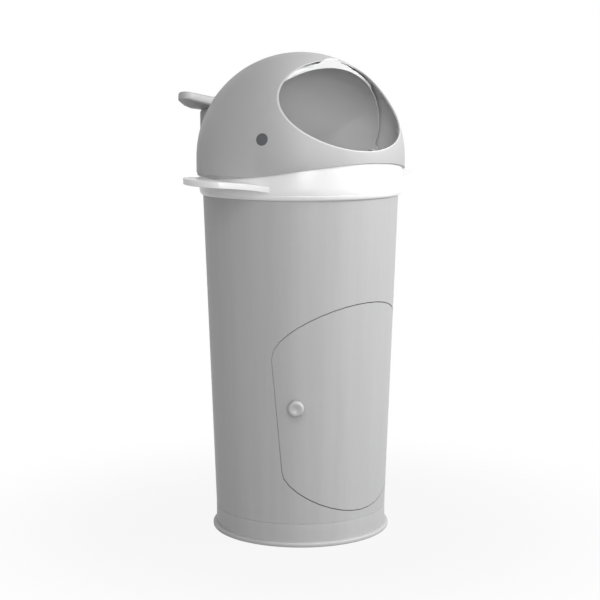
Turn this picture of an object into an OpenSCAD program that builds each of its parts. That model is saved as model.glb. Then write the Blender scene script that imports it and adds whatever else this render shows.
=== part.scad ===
// Nappy bin in the shape of a whale: a tapered sheet steel body with a side door,
// and a lift-off head whose mouth is closed by a turning shell with a tail lever.
// Millimetres, +Z up, the whale looks towards -Y. The origin is the centre of the
// footprint on the floor.

/* [Body] */
// Height of the flange that the bin stands on
foot_h = 6; // [4:0.5:9]
// How far the flange stands out from the body
foot_out = 4.8; // [3:0.1:10]
// Height of the plinth band above the flange
plinth_h = 25; // [20:1:40]
// Diameter of the tapered wall at its lower seam
body_low_d = 233; // [226:1:235]
// Diameter of the tapered wall at the head's lower edge
body_top_d = 264; // [262:0.5:266]
// Height of the tapered wall from the seam to the head
body_h = 428.5; // [390:0.5:470]
// Sheet thickness of the body
sheet_t = 1.2; // [0.8:0.1:1.6]
// Height of the wall hidden inside the head's collar
rim_rise = 6.5; // [5:0.5:8]

/* [Door] */
// Turn of the door from the whale's front
door_turn = 4; // [-10:1:10]
// Height of the door's lowest point
door_foot_z = 42.5; // [38:0.5:60]
// Height where the straight sides start above the lower curve
door_knee_z = 102; // [90:1:120]
// Height where the straight sides end below the arch
door_shoulder_z = 253; // [230:1:280]
// Height of the arch above the shoulders
door_arch_h = 70; // [50:1:90]
// Turn round the wall from the door's middle to its shoulders
door_shoulder_turn = 61.5; // [50:0.25:64]
// Turn round the wall from the door's middle to its knees
door_knee_turn = 55.7; // [45:0.1:60]
// Gap all round the door
door_gap = 1.4; // [1:0.1:2]
// Sheet thickness of the door
door_t = 0.9; // [0.6:0.1:1]
// Width of the stop frame on each side of the gap
frame_w = 8; // [5:0.5:11]
// Sheet thickness of the stop frame
frame_t = 1.2; // [0.8:0.1:1.5]

/* [Knob] */
// Diameter of the knob
knob_d = 21; // [16:0.5:26]
// Diameter of the knob's neck
neck_d = 11; // [9:0.5:13]
// How far the knob stands out
knob_h = 14; // [11:0.5:18]
// Distance of the knob from the door's free edge, round the wall
knob_inset = 26.9; // [24:0.1:60]
// Height of the knob
knob_z = 190; // [150:1:230]

/* [Hinges] */
// Radius of the hinge pin
pin_r = 1.25; // [1:0.05:1.5]
// Outer radius of the hinge barrel
barrel_r = 2.6; // [2.3:0.1:3]
// Length of each hinge
hinge_len = 36; // [30:1:44]
// Height of the lower hinge above the door's knees
hinge_low_rise = 20; // [16:1:35]
// Height of the door's shoulders above the upper hinge
hinge_high_drop = 23; // [16:1:35]
// Width of a hinge leaf
leaf_w = 15; // [12:1:18]
// Thickness of a hinge leaf
leaf_t = 1; // [0.8:0.1:1.2]

/* [Head] */
// Wall of the collar above its lower edge
collar_t = 4.7; // [4.2:0.1:6]
// Gap between the collar's neck and the dome's inner face
neck_gap = 0.9; // [0.8:0.1:2]
// Wall of the dome
dome_t = 2.2; // [2:0.1:3]
// Height of the dome's lower edge below its middle, at the sides and back
skirt_drop = 23; // [20:0.5:25]
// Rise of the dome's lower edge at the front
brow_rise = 20.2; // [14:0.2:24]
// Upward slope of the mouth's cut
mouth_tilt = 15; // [12:0.5:20]
// Turn from the cut up to the mouth's upper edge
mouth_top_turn = 50.9; // [49:0.1:54]
// Turn from the cut down to the mouth's lower edge
mouth_low_turn = 9.6; // [8:0.1:14]
// Turn from the front to the mouth's sides
mouth_side_turn = 43.2; // [38:0.1:45]
// Diameter of an eye
eye_d = 16; // [12:0.5:20]
// Turn of each eye from the front
eye_turn = 60.75; // [58:0.25:70]
// Height of the eyes above the dome's middle
eye_rise = 29; // [22:0.5:36]

/* [Shutter] */
// Gap between the turning shell and the dome
shell_gap = 3.5; // [3:0.1:5]
// Gap between the turning shell and the body's hem
shell_play = 1.23; // [0.8:0.01:2]
// Wall of the turning shell
shell_t = 1.8; // [1.4:0.1:2.2]
// Slope of the shell's rim when the mouth is open
rim_slope = 63.4; // [61:0.2:65]
// Turn of the shell from open to closed
shutter_travel = 56.5; // [45:0.5:57]
// Thickness of the pull on the rim
pull_t = 2.2; // [1.6:0.1:2.6]
// Width of the pull at its tab's foot, as an angle to each side
tab_turn = 8.6; // [6:0.1:10]
// How far the tab stands out from the turning shell
tab_out = 11; // [7:0.5:13]
// Radius of the pivot pins
pivot_r = 3; // [2.5:0.1:3.5]
// Diameter of the shell's lugs
lug_d = 26; // [22:0.5:28]
// Thickness of the shell's lugs
lug_t = 3; // [2.5:0.1:3.5]

/* [Tail] */
// Thickness of the tail's stem
stem_t = 14; // [10:0.5:16]
// How far the stem reaches behind the bin's middle
stem_reach = 219; // [205:1:225]
// Span of the fluke from tip to tip
fluke_span = 112; // [100:1:125]
// Thickness of the fluke
fluke_t = 12.5; // [9:0.5:13.5]
// Upward slope of each half of the fluke
fluke_tilt = 12; // [6:0.5:16]
// Downward slope of the fluke to the rear
fluke_slope = 11; // [5:0.5:16]

/* [Flippers] */
// How far a flipper stands out from the collar
flipper_len = 52.6; // [40:0.2:60]
// Thickness of a flipper
flipper_t = 7.6; // [6:0.2:8.4]
// Radius that a flipper is bowed to
flipper_bow_r = 400; // [300:5:600]
// Slope of a flipper upwards to the rear
flipper_slope = 2.3; // [0:0.1:4]
// Height of the flipper's top of the bow above the collar's lower edge
flipper_z = 23; // [20:0.5:26]

/* [Hidden] */

// Overrun of every cut past the face that it opens
over = 1;
// Sides of a full turn on the interpreter's preview
$fn = 96;
// Clearance between pieces that slide or turn past each other
clear = 0.4;
// Running clearance of a pin in its bore
run = 0.05;
// Gap between two bodies that lie on each other
lay = 0.3;
// Gap between curved faces of one body that lie on each other
seat = 0.1;

// Heights that follow from the stack
seam_z = foot_h + plinth_h;
lip_z = seam_z + body_h;
wall_top_z = lip_z + rim_rise;
body_slope = (body_top_d - body_low_d) / 2 / body_h;
wall_tilt = atan(body_slope);

// Outer radius of the tapered wall at a height
function wall_r(z) = body_low_d / 2 + (z - seam_z) * body_slope;

// Hem at the wall's top, and the radii of the head from the wall outwards
hem_t = 1.5;
hem_h = 8;
hem_r = wall_r(wall_top_z) - sheet_t - seat - hem_t;
skirt_r = wall_r(wall_top_z) + clear + run;
collar_r = skirt_r + collar_t;
inner_r = collar_r + neck_gap;
dome_r = inner_r + dome_t;
shell_r = inner_r - shell_gap;

// The dome's middle stands just high enough for the turning shell to clear the hem
pivot_z = wall_top_z + hem_t / 2 + sqrt(pow(shell_r, 2) - pow(hem_r - shell_play, 2));
collar_h = pivot_z - lip_z;

// Door outline: an arch, two straight sides and a lower curve, as superellipses
arch_bow = 2.08;
foot_bow = 1.88;
arch_steps = 20;
foot_steps = 18;
door_shoulder_w = wall_r(door_shoulder_z) * sin(door_shoulder_turn);
door_knee_w = wall_r(door_knee_z) * sin(door_knee_turn);
function bow(c, n) = sign(c) * pow(abs(c), 2 / n);
function door_outline() = concat(
    [for (i = [0 : arch_steps]) let (a = 180 * i / arch_steps)
        [door_shoulder_w * bow(cos(a), arch_bow),
         door_shoulder_z + door_arch_h * bow(sin(a), arch_bow)]],
    [for (i = [0 : foot_steps]) let (a = 180 + 180 * i / foot_steps)
        [door_knee_w * bow(cos(a), foot_bow),
         door_knee_z + (door_knee_z - door_foot_z) * bow(sin(a), foot_bow)]]);

// The same outline unrolled from the wall, grown by d, and rolled back
function unroll(p) = [wall_r(p.y) * asin(p.x / wall_r(p.y)) * PI / 180, p.y];
function roll(p) = [wall_r(p.y) * sin(p.x / wall_r(p.y) * 180 / PI), p.y];
function grown(d) =
    let (flat = [for (p = door_outline()) unroll(p)], n = len(flat))
    [for (i = [0 : n - 1])
        let (run_dir = flat[(i + 1) % n] - flat[(i + n - 1) % n], size = norm(run_dir))
        roll(flat[i] + d * [run_dir.y, -run_dir.x] / size)];

module door_prism(d) {
    rotate([0, 0, door_turn]) rotate([90, 0, 0])
        linear_extrude(body_top_d) polygon(grown(d));
}

// A conical layer of the wall, from depth a to depth b, between two heights
module wall_layer(a, b, z1, z2) {
    rotate_extrude() polygon([
        [wall_r(z1) - b, z1], [wall_r(z1) - a, z1],
        [wall_r(z2) - a, z2], [wall_r(z2) - b, z2]]);
}

// Puts children on the wall's outer face, with +Z outwards
module on_wall(turn, z) {
    rotate([0, 0, turn]) translate([0, -wall_r(z), z]) rotate([90 + wall_tilt, 0, 0])
        children();
}

// Hinge line: along the door's right edge, just outside the wall
hinge_out = 0.5;
hinge_low_z = door_knee_z + hinge_low_rise;
hinge_high_z = door_shoulder_z - hinge_high_drop;
function side_w(z) = door_knee_w + (z - door_knee_z)
    * (door_shoulder_w - door_knee_w) / (door_shoulder_z - door_knee_z);
function edge_point(z) = let (
    r = wall_r(z) + hinge_out, x = side_w(z) * r / wall_r(z), y = -sqrt(r * r - x * x))
    [x * cos(door_turn) - y * sin(door_turn), x * sin(door_turn) + y * cos(door_turn), z];
hinge_a = edge_point(hinge_low_z);
hinge_b = edge_point(hinge_high_z);
hinge_line = hinge_b - hinge_a;
hinge_gap = norm(hinge_line);
hinge_lean = acos(hinge_line.z / hinge_gap);
hinge_heading = atan2(hinge_line.y, hinge_line.x);

// Puts children on each hinge: +X outwards, -Y towards the door, +Z along the pin
module at_hinges() {
    for (p = [hinge_a, hinge_b]) translate(p) rotate([0, hinge_lean, hinge_heading])
        rotate([0, 0, atan2(p.y, p.x) - hinge_heading]) children();
}

knuckle_share = 0.28;
knuckle_len = hinge_len * knuckle_share;
pin_cap_h = 0.8 * pin_r;
pin_cap_r = 1.6 * pin_r;
notch_w = barrel_r + 0.6 * leaf_t;
notch_len = hinge_len + 2 * (pin_cap_h + clear);

// Room for a hinge, w to each side of its line
module hinge_notches(w) {
    at_hinges() translate([-2 * barrel_r, -w, -notch_len / 2])
        cube([4 * barrel_r, 2 * w, notch_len]);
}

module pin_bores() {
    at_hinges() translate([0, 0, -hinge_len]) cylinder(r = pin_r + run, h = 2 * hinge_len, $fn = 48);
}

// One knuckle and the web to its leaf, on the side given by s, behind a sheet of depth d
module knuckle(z1, z2, s, d) {
    at_hinges() translate([0, 0, z1]) {
        cylinder(r = barrel_r, h = z2 - z1, $fn = 48);
        translate([-hinge_out - d - leaf_t - seat, s > 0 ? 0 : -notch_w - leaf_t, 0])
            cube([leaf_t - 2 * seat, notch_w + leaf_t, z2 - z1]);
    }
}

// A leaf cut from the layer behind a sheet of depth d, on the side given by s
module leaf_sheet(d, s) {
    intersection() {
        wall_layer(d + seat, d + seat + leaf_t, door_foot_z, door_shoulder_z);
        at_hinges() translate([-leaf_w, s > 0 ? notch_w : -notch_w - leaf_w, -hinge_len / 2])
            cube([2 * leaf_w, leaf_w, hinge_len]);
    }
}

rivet_r = 1.5;
rivet_head_r = 2.8;
rivet_head_h = 0.9;
rivet_rows_share = [-0.3, 0.3];

// Puts children at the rivets on the side given by s: z = 0 on the wall, +Z outwards
module at_rivets(s) {
    for (low = [hinge_low_z, hinge_high_z], k = rivet_rows_share) {
        z = low + k * hinge_len;
        p = edge_point(z);
        out = s * (notch_w + leaf_w / 2) / wall_r(z) * 180 / PI;
        on_wall(90 + atan2(p.y, p.x) + out, z) children();
    }
}

module rivet_holes(s) {
    at_rivets(s) translate([0, 0, -leaf_w]) cylinder(r = rivet_r, h = 2 * leaf_w, $fn = 32);
}

// Rivets through a sheet of depth d and the leaf behind it
module rivets(s, d) {
    back = d + leaf_t + 2 * seat;
    at_rivets(s) {
        translate([0, 0, -back]) cylinder(r = rivet_r - run, h = back + seat, $fn = 32);
        translate([0, 0, seat])
            cylinder(r1 = rivet_head_r, r2 = rivet_r, h = rivet_head_h, $fn = 32);
        translate([0, 0, -back - rivet_head_h])
            cylinder(r = rivet_head_r, h = rivet_head_h, $fn = 32);
    }
}

// Body

module body_shell() {
    color("#b4b7ba") difference() {
        wall_layer(0, sheet_t, seam_z, wall_top_z);
        door_prism(door_gap / 2);
        hinge_notches(notch_w);
        rivet_holes(1);
    }
}

// Hem that covers the wall's cut top edge
module top_rim() {
    z1 = wall_top_z - hem_h;
    z2 = wall_top_z;
    r1 = wall_r(z1) - sheet_t - seat;
    r2 = wall_r(z2);
    color("#c9ccce") rotate_extrude() polygon([
        [r1 - hem_t, z1], [r1, z1], [hem_r + hem_t, z2], [r2, z2], [r2, z2 + hem_t / 2],
        [r2 - hem_t / 2, z2 + hem_t], [hem_r + hem_t / 2, z2 + hem_t],
        [hem_r, z2 + hem_t / 2]]);
}

plinth_step = 0.12;

module plinth_band() {
    color("#b4b7ba") rotate_extrude() translate([body_low_d / 2 - sheet_t, foot_h])
        square([sheet_t + plinth_step, plinth_h]);
}

foot_t = 2.4;
stand_h = 12;

// Flange with a rounded outer edge and an upstand that carries the floor
module foot_ring() {
    r = body_low_d / 2 + foot_out - foot_h / 2;
    r_in = body_low_d / 2 - sheet_t - seat - foot_t;
    color("#a5a8ab") rotate_extrude() union() {
        translate([r_in - foot_t, 0]) square([r - r_in + foot_t, foot_h]);
        translate([r, foot_h / 2]) circle(r = foot_h / 2, $fn = 32);
        translate([r_in, 0]) square([foot_t, foot_h + stand_h]);
    }
}

floor_t = 1.2;
floor_edge = 6;

// Pan that the bag stands on
module floor_plate() {
    r = body_low_d / 2 - sheet_t - seat;
    color("#c2c5c8") translate([0, 0, foot_h + stand_h]) rotate_extrude() union() {
        square([r, floor_t]);
        translate([r - floor_t, 0]) square([floor_t, floor_edge]);
    }
}

// Depth of the stop frame's inner face
frame_back = sheet_t + seat + frame_t;

// Band behind the door's edge that the door shuts against
module door_frame() {
    color("#aeb1b4") difference() {
        intersection() {
            wall_layer(sheet_t + seat, frame_back, door_foot_z - 2 * frame_w,
                       door_shoulder_z + door_arch_h + 2 * frame_w);
            door_prism(frame_w);
        }
        door_prism(-frame_w);
        hinge_notches(notch_w + leaf_w + clear);
        catch_screw_holes();
    }
}

module body_hinge_leaves() {
    color("#d0d2d4") difference() {
        union() {
            leaf_sheet(sheet_t, 1);
            knuckle(-hinge_len / 2, -hinge_len / 2 + knuckle_len, 1, sheet_t);
            knuckle(hinge_len / 2 - knuckle_len, hinge_len / 2, 1, sheet_t);
        }
        pin_bores();
        rivet_holes(1);
    }
}

module body_hinge_rivets() {
    color("#dfe0e1") rivets(1, sheet_t);
}

module hinge_pins() {
    len = hinge_len + 2 * run;
    color("#e3e4e5") at_hinges() {
        translate([0, 0, -len / 2 - pin_cap_h / 2])
            cylinder(r = pin_r, h = len + pin_cap_h, $fn = 48);
        for (s = [-1, 1]) translate([0, 0, s * (len + pin_cap_h) / 2 - pin_cap_h / 2])
            cylinder(r = pin_cap_r, h = pin_cap_h, $fn = 32);
    }
}

knob_screw_r = 2;
knob_round = 3.2;
knob_head_share = 0.6;
knob_bore_share = 0.65;
washer_t = 1;
washer_r = 5;

// Magnet catch beside the knob, on the frame at the door's free edge
catch_w = knob_inset - frame_w - door_gap - washer_r - clear;
catch_h = 34;
catch_depth = 12;
strike_t = 0.8;
flange_t = 1.5;
screw_r = 1.2;
screw_rows_share = [-0.3, 0.3];
catch_sag = catch_w * catch_w / 8 / wall_r(knob_z);
catch_face = door_t + seat + strike_t + catch_sag + lay;
edge_arc = unroll([side_w(knob_z), knob_z]).x;
catch_arc = edge_arc - frame_w - door_gap - catch_w / 2;
knob_turn = arc_turn(edge_arc - knob_inset);
function arc_turn(arc) = door_turn - arc / wall_r(knob_z) * 180 / PI;

module at_catch_screws() {
    for (k = screw_rows_share)
        on_wall(arc_turn(edge_arc - frame_w / 2), knob_z + k * catch_h) children();
}

module catch_screw_holes() {
    at_catch_screws() translate([0, 0, -catch_depth])
        cylinder(r = screw_r, h = catch_depth, $fn = 32);
}

module magnet_catch() {
    depth = frame_back + seat;
    color("#e6e7e8") difference() {
        union() {
            on_wall(arc_turn(catch_arc), knob_z)
                translate([-catch_w / 2, -catch_h / 2, -catch_face - catch_depth])
                    cube([catch_w, catch_h, catch_depth]);
            intersection() {
                wall_layer(depth, depth + flange_t, door_foot_z, door_shoulder_z);
                on_wall(arc_turn(catch_arc), knob_z)
                    translate([-catch_w - frame_w, -catch_h / 2, -catch_depth])
                        cube([catch_w + frame_w, catch_h, catch_depth]);
            }
        }
        on_wall(arc_turn(catch_arc), knob_z) magnet_block(run, over);
        catch_screw_holes();
    }
}

magnet_share = [0.64, 0.8, 0.4];

// The magnet's block, grown by g and let through its face by the overrun given
module magnet_block(g, proud) {
    w = catch_w * magnet_share.x + 2 * g;
    h = catch_h * magnet_share.y + 2 * g;
    d = catch_depth * magnet_share.z + g;
    translate([-w / 2, -h / 2, -catch_face - d]) cube([w, h, d + proud]);
}

module catch_magnet() {
    color("#3b3c3e") on_wall(arc_turn(catch_arc), knob_z) magnet_block(0, 0);
}

module catch_screws() {
    depth = frame_back + seat + flange_t + seat;
    color("#d6d7d8") at_catch_screws() {
        translate([0, 0, -depth])
            cylinder(r = screw_r - run, h = depth - sheet_t - 2 * seat, $fn = 32);
        translate([0, 0, -depth - screw_r]) cylinder(r = 2 * screw_r, h = screw_r, $fn = 32);
    }
}

// Door

module door_panel() {
    color("#b6b9bc") difference() {
        intersection() {
            wall_layer(0, door_t, door_foot_z - frame_w, door_shoulder_z + door_arch_h + frame_w);
            door_prism(-door_gap / 2);
        }
        hinge_notches(notch_w);
        rivet_holes(-1);
        on_wall(knob_turn, knob_z) translate([0, 0, -over - door_t])
            cylinder(r = knob_screw_r, h = 2 * over + door_t, $fn = 32);
    }
}

module door_hinge_leaves() {
    color("#d0d2d4") difference() {
        union() {
            leaf_sheet(door_t, -1);
            knuckle(-hinge_len / 2 + knuckle_len + clear, hinge_len / 2 - knuckle_len - clear,
                    -1, door_t);
        }
        pin_bores();
        rivet_holes(-1);
    }
}

module door_hinge_rivets() {
    color("#dfe0e1") rivets(-1, door_t);
}

// How far the washer's flat face stands off the curved door
washer_sag = washer_r * washer_r / 2 / wall_r(knob_z);
washer_back = door_t + seat + washer_sag + washer_t;

// Turned knob: a neck, and a head with rounded edges and a flat face
module knob() {
    r = knob_d / 2;
    head = knob_h * knob_head_share;
    color("#bfc2c4") on_wall(knob_turn, knob_z) difference() {
        rotate_extrude() union() {
            translate([0, seat]) square([neck_d / 2, knob_h / 2]);
            translate([0, knob_h - head]) square([r - knob_round, head]);
            translate([0, knob_h - head + knob_round]) square([r, head - 2 * knob_round]);
            for (z = [knob_h - knob_round, knob_h - head + knob_round])
                translate([r - knob_round, z]) circle(r = knob_round, $fn = 48);
        }
        translate([0, 0, -over])
            cylinder(r = knob_screw_r, h = knob_h * knob_bore_share + over, $fn = 32);
    }
}

module knob_washer() {
    color("#d9dadb") on_wall(knob_turn, knob_z)
        translate([0, 0, -washer_back]) difference() {
            cylinder(r = washer_r, h = washer_t, $fn = 48);
            translate([0, 0, -over]) cylinder(r = knob_screw_r, h = washer_t + 2 * over, $fn = 32);
        }
}

module knob_screw() {
    head_h = 1.3 * knob_screw_r;
    color("#d6d7d8") on_wall(knob_turn, knob_z) {
        translate([0, 0, -washer_back - head_h])
            cylinder(r = 2 * knob_screw_r, h = head_h, $fn = 48);
        translate([0, 0, -washer_back]) cylinder(
            r = knob_screw_r - run, h = washer_back + knob_h * knob_bore_share - run, $fn = 32);
    }
}

module strike_plate() {
    color("#d0d2d4") intersection() {
        wall_layer(door_t + seat, door_t + seat + strike_t, door_foot_z, door_shoulder_z);
        on_wall(arc_turn(catch_arc), knob_z) translate([-catch_w / 2, -catch_h / 2, -catch_depth])
            cube([catch_w, catch_h, 2 * catch_depth]);
    }
}

// Head

lip_inset = 3.5;
// Collar's outer face: inset as a share of lip_inset, height as a share of collar_h
collar_shares = [[1, 0], [0.69, 0.02], [0.43, 0.053], [0.257, 0.111], [0.246, 0.122],
    [0.37, 0.126], [0.37, 0.136], [0.237, 0.14], [0.03, 0.515], [0, 0.7]];
seal_h = 2.4;
seal_z = wall_top_z + hem_t + lay;
ledge_z = seal_z + seal_h;
neck_lap = 5;
neck_top_z = pivot_z - skirt_drop + neck_lap;
neck_steps = 5;

// Radius that clears the turning shell at a height
function clear_r(z) = sqrt(pow(shell_r + 1.5 * clear, 2) - pow(z - pivot_z, 2));

// Height of the dome's lower edge at a distance y from the middle, lifted
function brow_z(y, lift) = pivot_z - skirt_drop + lift
    + brow_rise * pow(min(y, 0) / inner_r, 2);
brow_steps = 18;

// Everything below the dome's lower edge
module brow_below(lift) {
    reach = dome_r + 2 * neck_lap;
    translate([-reach, 0, 0]) rotate([90, 0, 90]) linear_extrude(2 * reach) polygon(concat(
        [[reach, seam_z], [reach, brow_z(reach, lift)]],
        [for (i = [0 : brow_steps]) let (y = -reach * i / brow_steps) [y, brow_z(y, lift)]],
        [[-reach, seam_z]]));
}

function collar_face(grow) = [for (s = collar_shares)
    [collar_r - s.x * lip_inset + grow, lip_z + s.y * collar_h]];

module collar() {
    top = pivot_z - skirt_drop + brow_rise + 2 * neck_lap;
    color("#f4f5f6") difference() {
        intersection() {
            rotate_extrude() polygon(concat(
                collar_face(0), [[collar_r, top], [clear_r(neck_top_z), top]],
                [for (i = [0 : neck_steps])
                    let (z = neck_top_z - (neck_top_z - ledge_z) * i / neck_steps) [clear_r(z), z]],
                [[skirt_r, ledge_z], [skirt_r, lip_z]]));
            brow_below(neck_lap);
        }
        for (s = [-1, 1]) tenon(s, run);
        dome_screw_set(0);
    }
}

module seal_ring() {
    r = clear_r(ledge_z) + run;
    color("#8d9093") rotate_extrude() translate([r, seal_z]) square([skirt_r - run - r, seal_h]);
}

// Flipper outline: turns forward of the side, and reaches as shares of flipper_len
flipper_root_share = -0.06;
flipper_root_turns = [35.2, -15.6];
flipper_tip_turns = [17, 13.6, 9.6, 4];
flipper_tip_shares = [0.77, 0.97, 1.01, 1.01];
flipper_heel_turns = [4, -1.6, -5.8, -8];
flipper_heel_shares = [1.01, 1, 0.92, 0.75];
// Top of the flipper's bow
flipper_crest_share = 0.905;
flipper_crest = collar_r + flipper_crest_share * flipper_len;
curve_steps = 8;

function curve(p, n) = [for (i = [1 : n]) let (t = i / n, u = 1 - t)
    p[0] * u * u * u + p[1] * 3 * u * u * t + p[2] * 3 * u * t * t + p[3] * t * t * t];

function flipper_pt(turn, share) = (collar_r + share * flipper_len) * [cos(turn), sin(turn)];
function flipper_pts(turns, shares) =
    [for (i = [0 : len(turns) - 1]) flipper_pt(turns[i], shares[i])];

// One flipper on the side given by s, bowed, and cut to the collar's face
module flipper(s) {
    tip = flipper_pts(flipper_tip_turns, flipper_tip_shares);
    heel = flipper_pts(flipper_heel_turns, flipper_heel_shares);
    outline = concat([flipper_pt(flipper_root_turns[0], flipper_root_share), tip[0]],
                     curve(tip, curve_steps), curve(heel, curve_steps),
                     [flipper_pt(flipper_root_turns[1], flipper_root_share)]);
    color("#f7f8f8") union() {
        difference() {
            intersection() {
                translate([0, 0, lip_z]) linear_extrude(collar_h)
                    polygon([for (p = outline) [s * p.x, -p.y]]);
                translate([s * flipper_crest, 0, lip_z + flipper_z])
                    rotate([flipper_slope, 0, 0]) translate([0, 0, -flipper_bow_r])
                        rotate([90, 0, 0]) bow_slab();
            }
            rotate_extrude() polygon(concat(collar_face(run),
                [[collar_r + run, pivot_z], [0, pivot_z], [0, lip_z]]));
        }
        tenon(s, 0);
    }
}

module bow_slab() {
    difference() {
        cylinder(r = flipper_bow_r + flipper_t / 2, h = 2 * dome_r, center = true, $fn = 720);
        cylinder(r = flipper_bow_r - flipper_t / 2, h = 3 * dome_r, center = true, $fn = 720);
    }
}

tenon_turn = 78;
tenon_w = 30;
tenon_h = 3.6;
tenon_depth = 2.6;
tenon_root = 2;
// Height of the flipper's middle where it meets the collar
tenon_z = lip_z + flipper_z
    - pow(flipper_crest - collar_r, 2) / 2 / flipper_bow_r
    - collar_r * cos(tenon_turn) * tan(flipper_slope);

// Tongue that seats a flipper in the collar, grown by g
module tenon(s, g) {
    rotate([0, 0, s * tenon_turn]) translate(
        [-tenon_w / 2 - g, -collar_r - tenon_root, tenon_z - tenon_h / 2 - g])
        cube([tenon_w + 2 * g, tenon_depth + tenon_root + g, tenon_h + 2 * g]);
}

module left_flipper() { flipper(-1); }

module right_flipper() { flipper(1); }

edge_round = 5;
bead_r = collar_r + lay;
boss_r = 7;
// How far the lugs' outer faces lie inside the shell's own radius
lug_inset = 0.6;
lug_face = shell_r - lug_inset;
boss_face = lug_face + clear;
pin_end = dome_r - 0.7 * dome_t;

mouth_steps = 60;
mouth_top = dome_r * sin(mouth_top_turn);
mouth_low = -dome_r * sin(mouth_low_turn);
mouth_w = dome_r * sin(mouth_side_turn);
mouth_h = (mouth_top - mouth_low) / 2;
mouth_rise = (mouth_top + mouth_low) / 2;

module mouth_prism() {
    translate([0, 0, pivot_z]) rotate([90 - mouth_tilt, 0, 0]) linear_extrude(2 * dome_r)
        translate([0, mouth_rise]) polygon([for (i = [0 : mouth_steps - 1])
            let (a = 360 * i / mouth_steps) [mouth_w * cos(a), mouth_h * sin(a)]]);
}

// Angles above level at which the stem's foot begins and ends, behind the dome
stem_low = 3.2;
stem_high = 17;
slot_play = 1.4;
slot_steps = 12;

// Slot that the tail's stem travels in
module tail_slot() {
    a0 = stem_low - 2 * slot_play;
    a1 = stem_high + shutter_travel + slot_play;
    w = stem_t / 2 + 5 * clear;
    translate([-w, 0, pivot_z]) rotate([90, 0, 90]) linear_extrude(2 * w) polygon(concat(
        [for (i = [0 : slot_steps]) let (a = a0 + (a1 - a0) * i / slot_steps)
            [cos(a), sin(a)] * (inner_r - 2 * dome_t)],
        [for (i = [0 : slot_steps]) let (a = a1 - (a1 - a0) * i / slot_steps)
            [cos(a), sin(a)] * (dome_r + 2 * dome_t)]));
}

// Puts children at an eye, with +Z outwards from the middle of the dome
module at_eye(s) {
    translate([0, 0, pivot_z]) rotate([0, 0, s * eye_turn])
        rotate([90 - asin(eye_rise / dome_r), 0, 0]) children();
}

// Domed shell with its skirt, rolled lower edge, bead, pivot bosses and openings
module dome() {
    z0 = pivot_z - skirt_drop;
    color("#b9bcbf") difference() {
        union() {
            difference() {
                rotate_extrude() union() {
                    translate([0, pivot_z]) difference() {
                        intersection() {
                            circle(r = dome_r, $fn = 240);
                            square([dome_r, dome_r]);
                        }
                        circle(r = inner_r, $fn = 240);
                    }
                    translate([inner_r, z0 + edge_round])
                        square([dome_t, skirt_drop - edge_round]);
                    intersection() {
                        translate([dome_r - edge_round, z0 + edge_round])
                            circle(r = edge_round, $fn = 64);
                        translate([bead_r, z0]) square([edge_round, edge_round]);
                    }
                }
                brow_below(0);
            }
            difference() {
                intersection() {
                    rotate_extrude() translate([bead_r, z0])
                        square([dome_t / 2 + inner_r - bead_r, skirt_drop]);
                    brow_below(neck_lap);
                }
                brow_below(0);
            }
            for (s = [-1, 1]) translate([s * boss_face, 0, pivot_z]) rotate([0, s * 90, 0])
                cylinder(r = boss_r, h = inner_r + dome_t / 4 - boss_face, $fn = 64);
        }
        mouth_prism();
        tail_slot();
        for (s = [-1, 1]) {
            at_eye(s) translate([0, 0, inner_r / 2])
                cylinder(r = eye_d / 2 + run, h = dome_r, $fn = 64);
            translate([s * boss_face / 2, 0, pivot_z]) rotate([0, s * 90, 0])
                cylinder(r = pivot_r + run, h = pin_end + run - boss_face / 2, $fn = 64);
        }
        dome_screw_set(0);
    }
}

dome_screw_turns = [35, 105, 165];
dome_screw_r = 1.2;

// Countersunk screws from inside, through the collar's neck into the dome, grown by g
module dome_screw_set(g) {
    for (s = [-1, 1], a = dome_screw_turns) {
        z = brow_z(-collar_r * cos(a), neck_lap / 2);
        r = clear_r(min(z, neck_top_z)) - g;
        rotate([0, 0, s * a]) translate([0, -r, z]) rotate([90, 0, 0]) {
            cylinder(r = dome_screw_r + g, h = dome_r - dome_t / 2 + g - r, $fn = 32);
            cylinder(r1 = 2 * dome_screw_r + g, r2 = dome_screw_r + g, h = dome_screw_r, $fn = 32);
        }
    }
}

module dome_screws() {
    color("#d6d7d8") dome_screw_set(-run);
}

eye_flange = 1.6;
eye_flange_r = eye_d / 2 + eye_flange;
// How far the flange's flat face stands off the dome's inside
eye_sag = eye_flange_r * eye_flange_r / 2 / inner_r + seat;

// An eye: a button pushed in from inside, flush with the dome, with a flange behind
module eye(s) {
    color("#4a4c4f") intersection() {
        at_eye(s) translate([0, 0, inner_r - eye_flange]) {
            cylinder(r = eye_d / 2, h = 2 * dome_t + eye_flange, $fn = 64);
            cylinder(r = eye_flange_r, h = eye_flange - eye_sag, $fn = 64);
        }
        translate([0, 0, pivot_z]) sphere(r = dome_r, $fn = 240);
    }
}

module left_eye() { eye(-1); }

module right_eye() { eye(1); }

bush_t = 2;
bush_flange = 1.2;
pin_head_x = lug_face - lug_t - bush_flange - clear;

module pivot_pins() {
    color("#e3e4e5") for (s = [-1, 1]) translate([s * pin_head_x, 0, pivot_z])
        rotate([0, s * 90, 0]) {
            cylinder(r = pivot_r, h = pin_end - pin_head_x, $fn = 64);
            translate([0, 0, -pivot_r]) cylinder(r = 2 * pivot_r, h = pivot_r, $fn = 64);
        }
}

// Shutter

// Puts children on the rim of the open shell: +Z out of it, +Y to its top
module at_rim() {
    translate([0, 0, pivot_z]) rotate([180 - rim_slope, 0, 0]) children();
}

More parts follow.
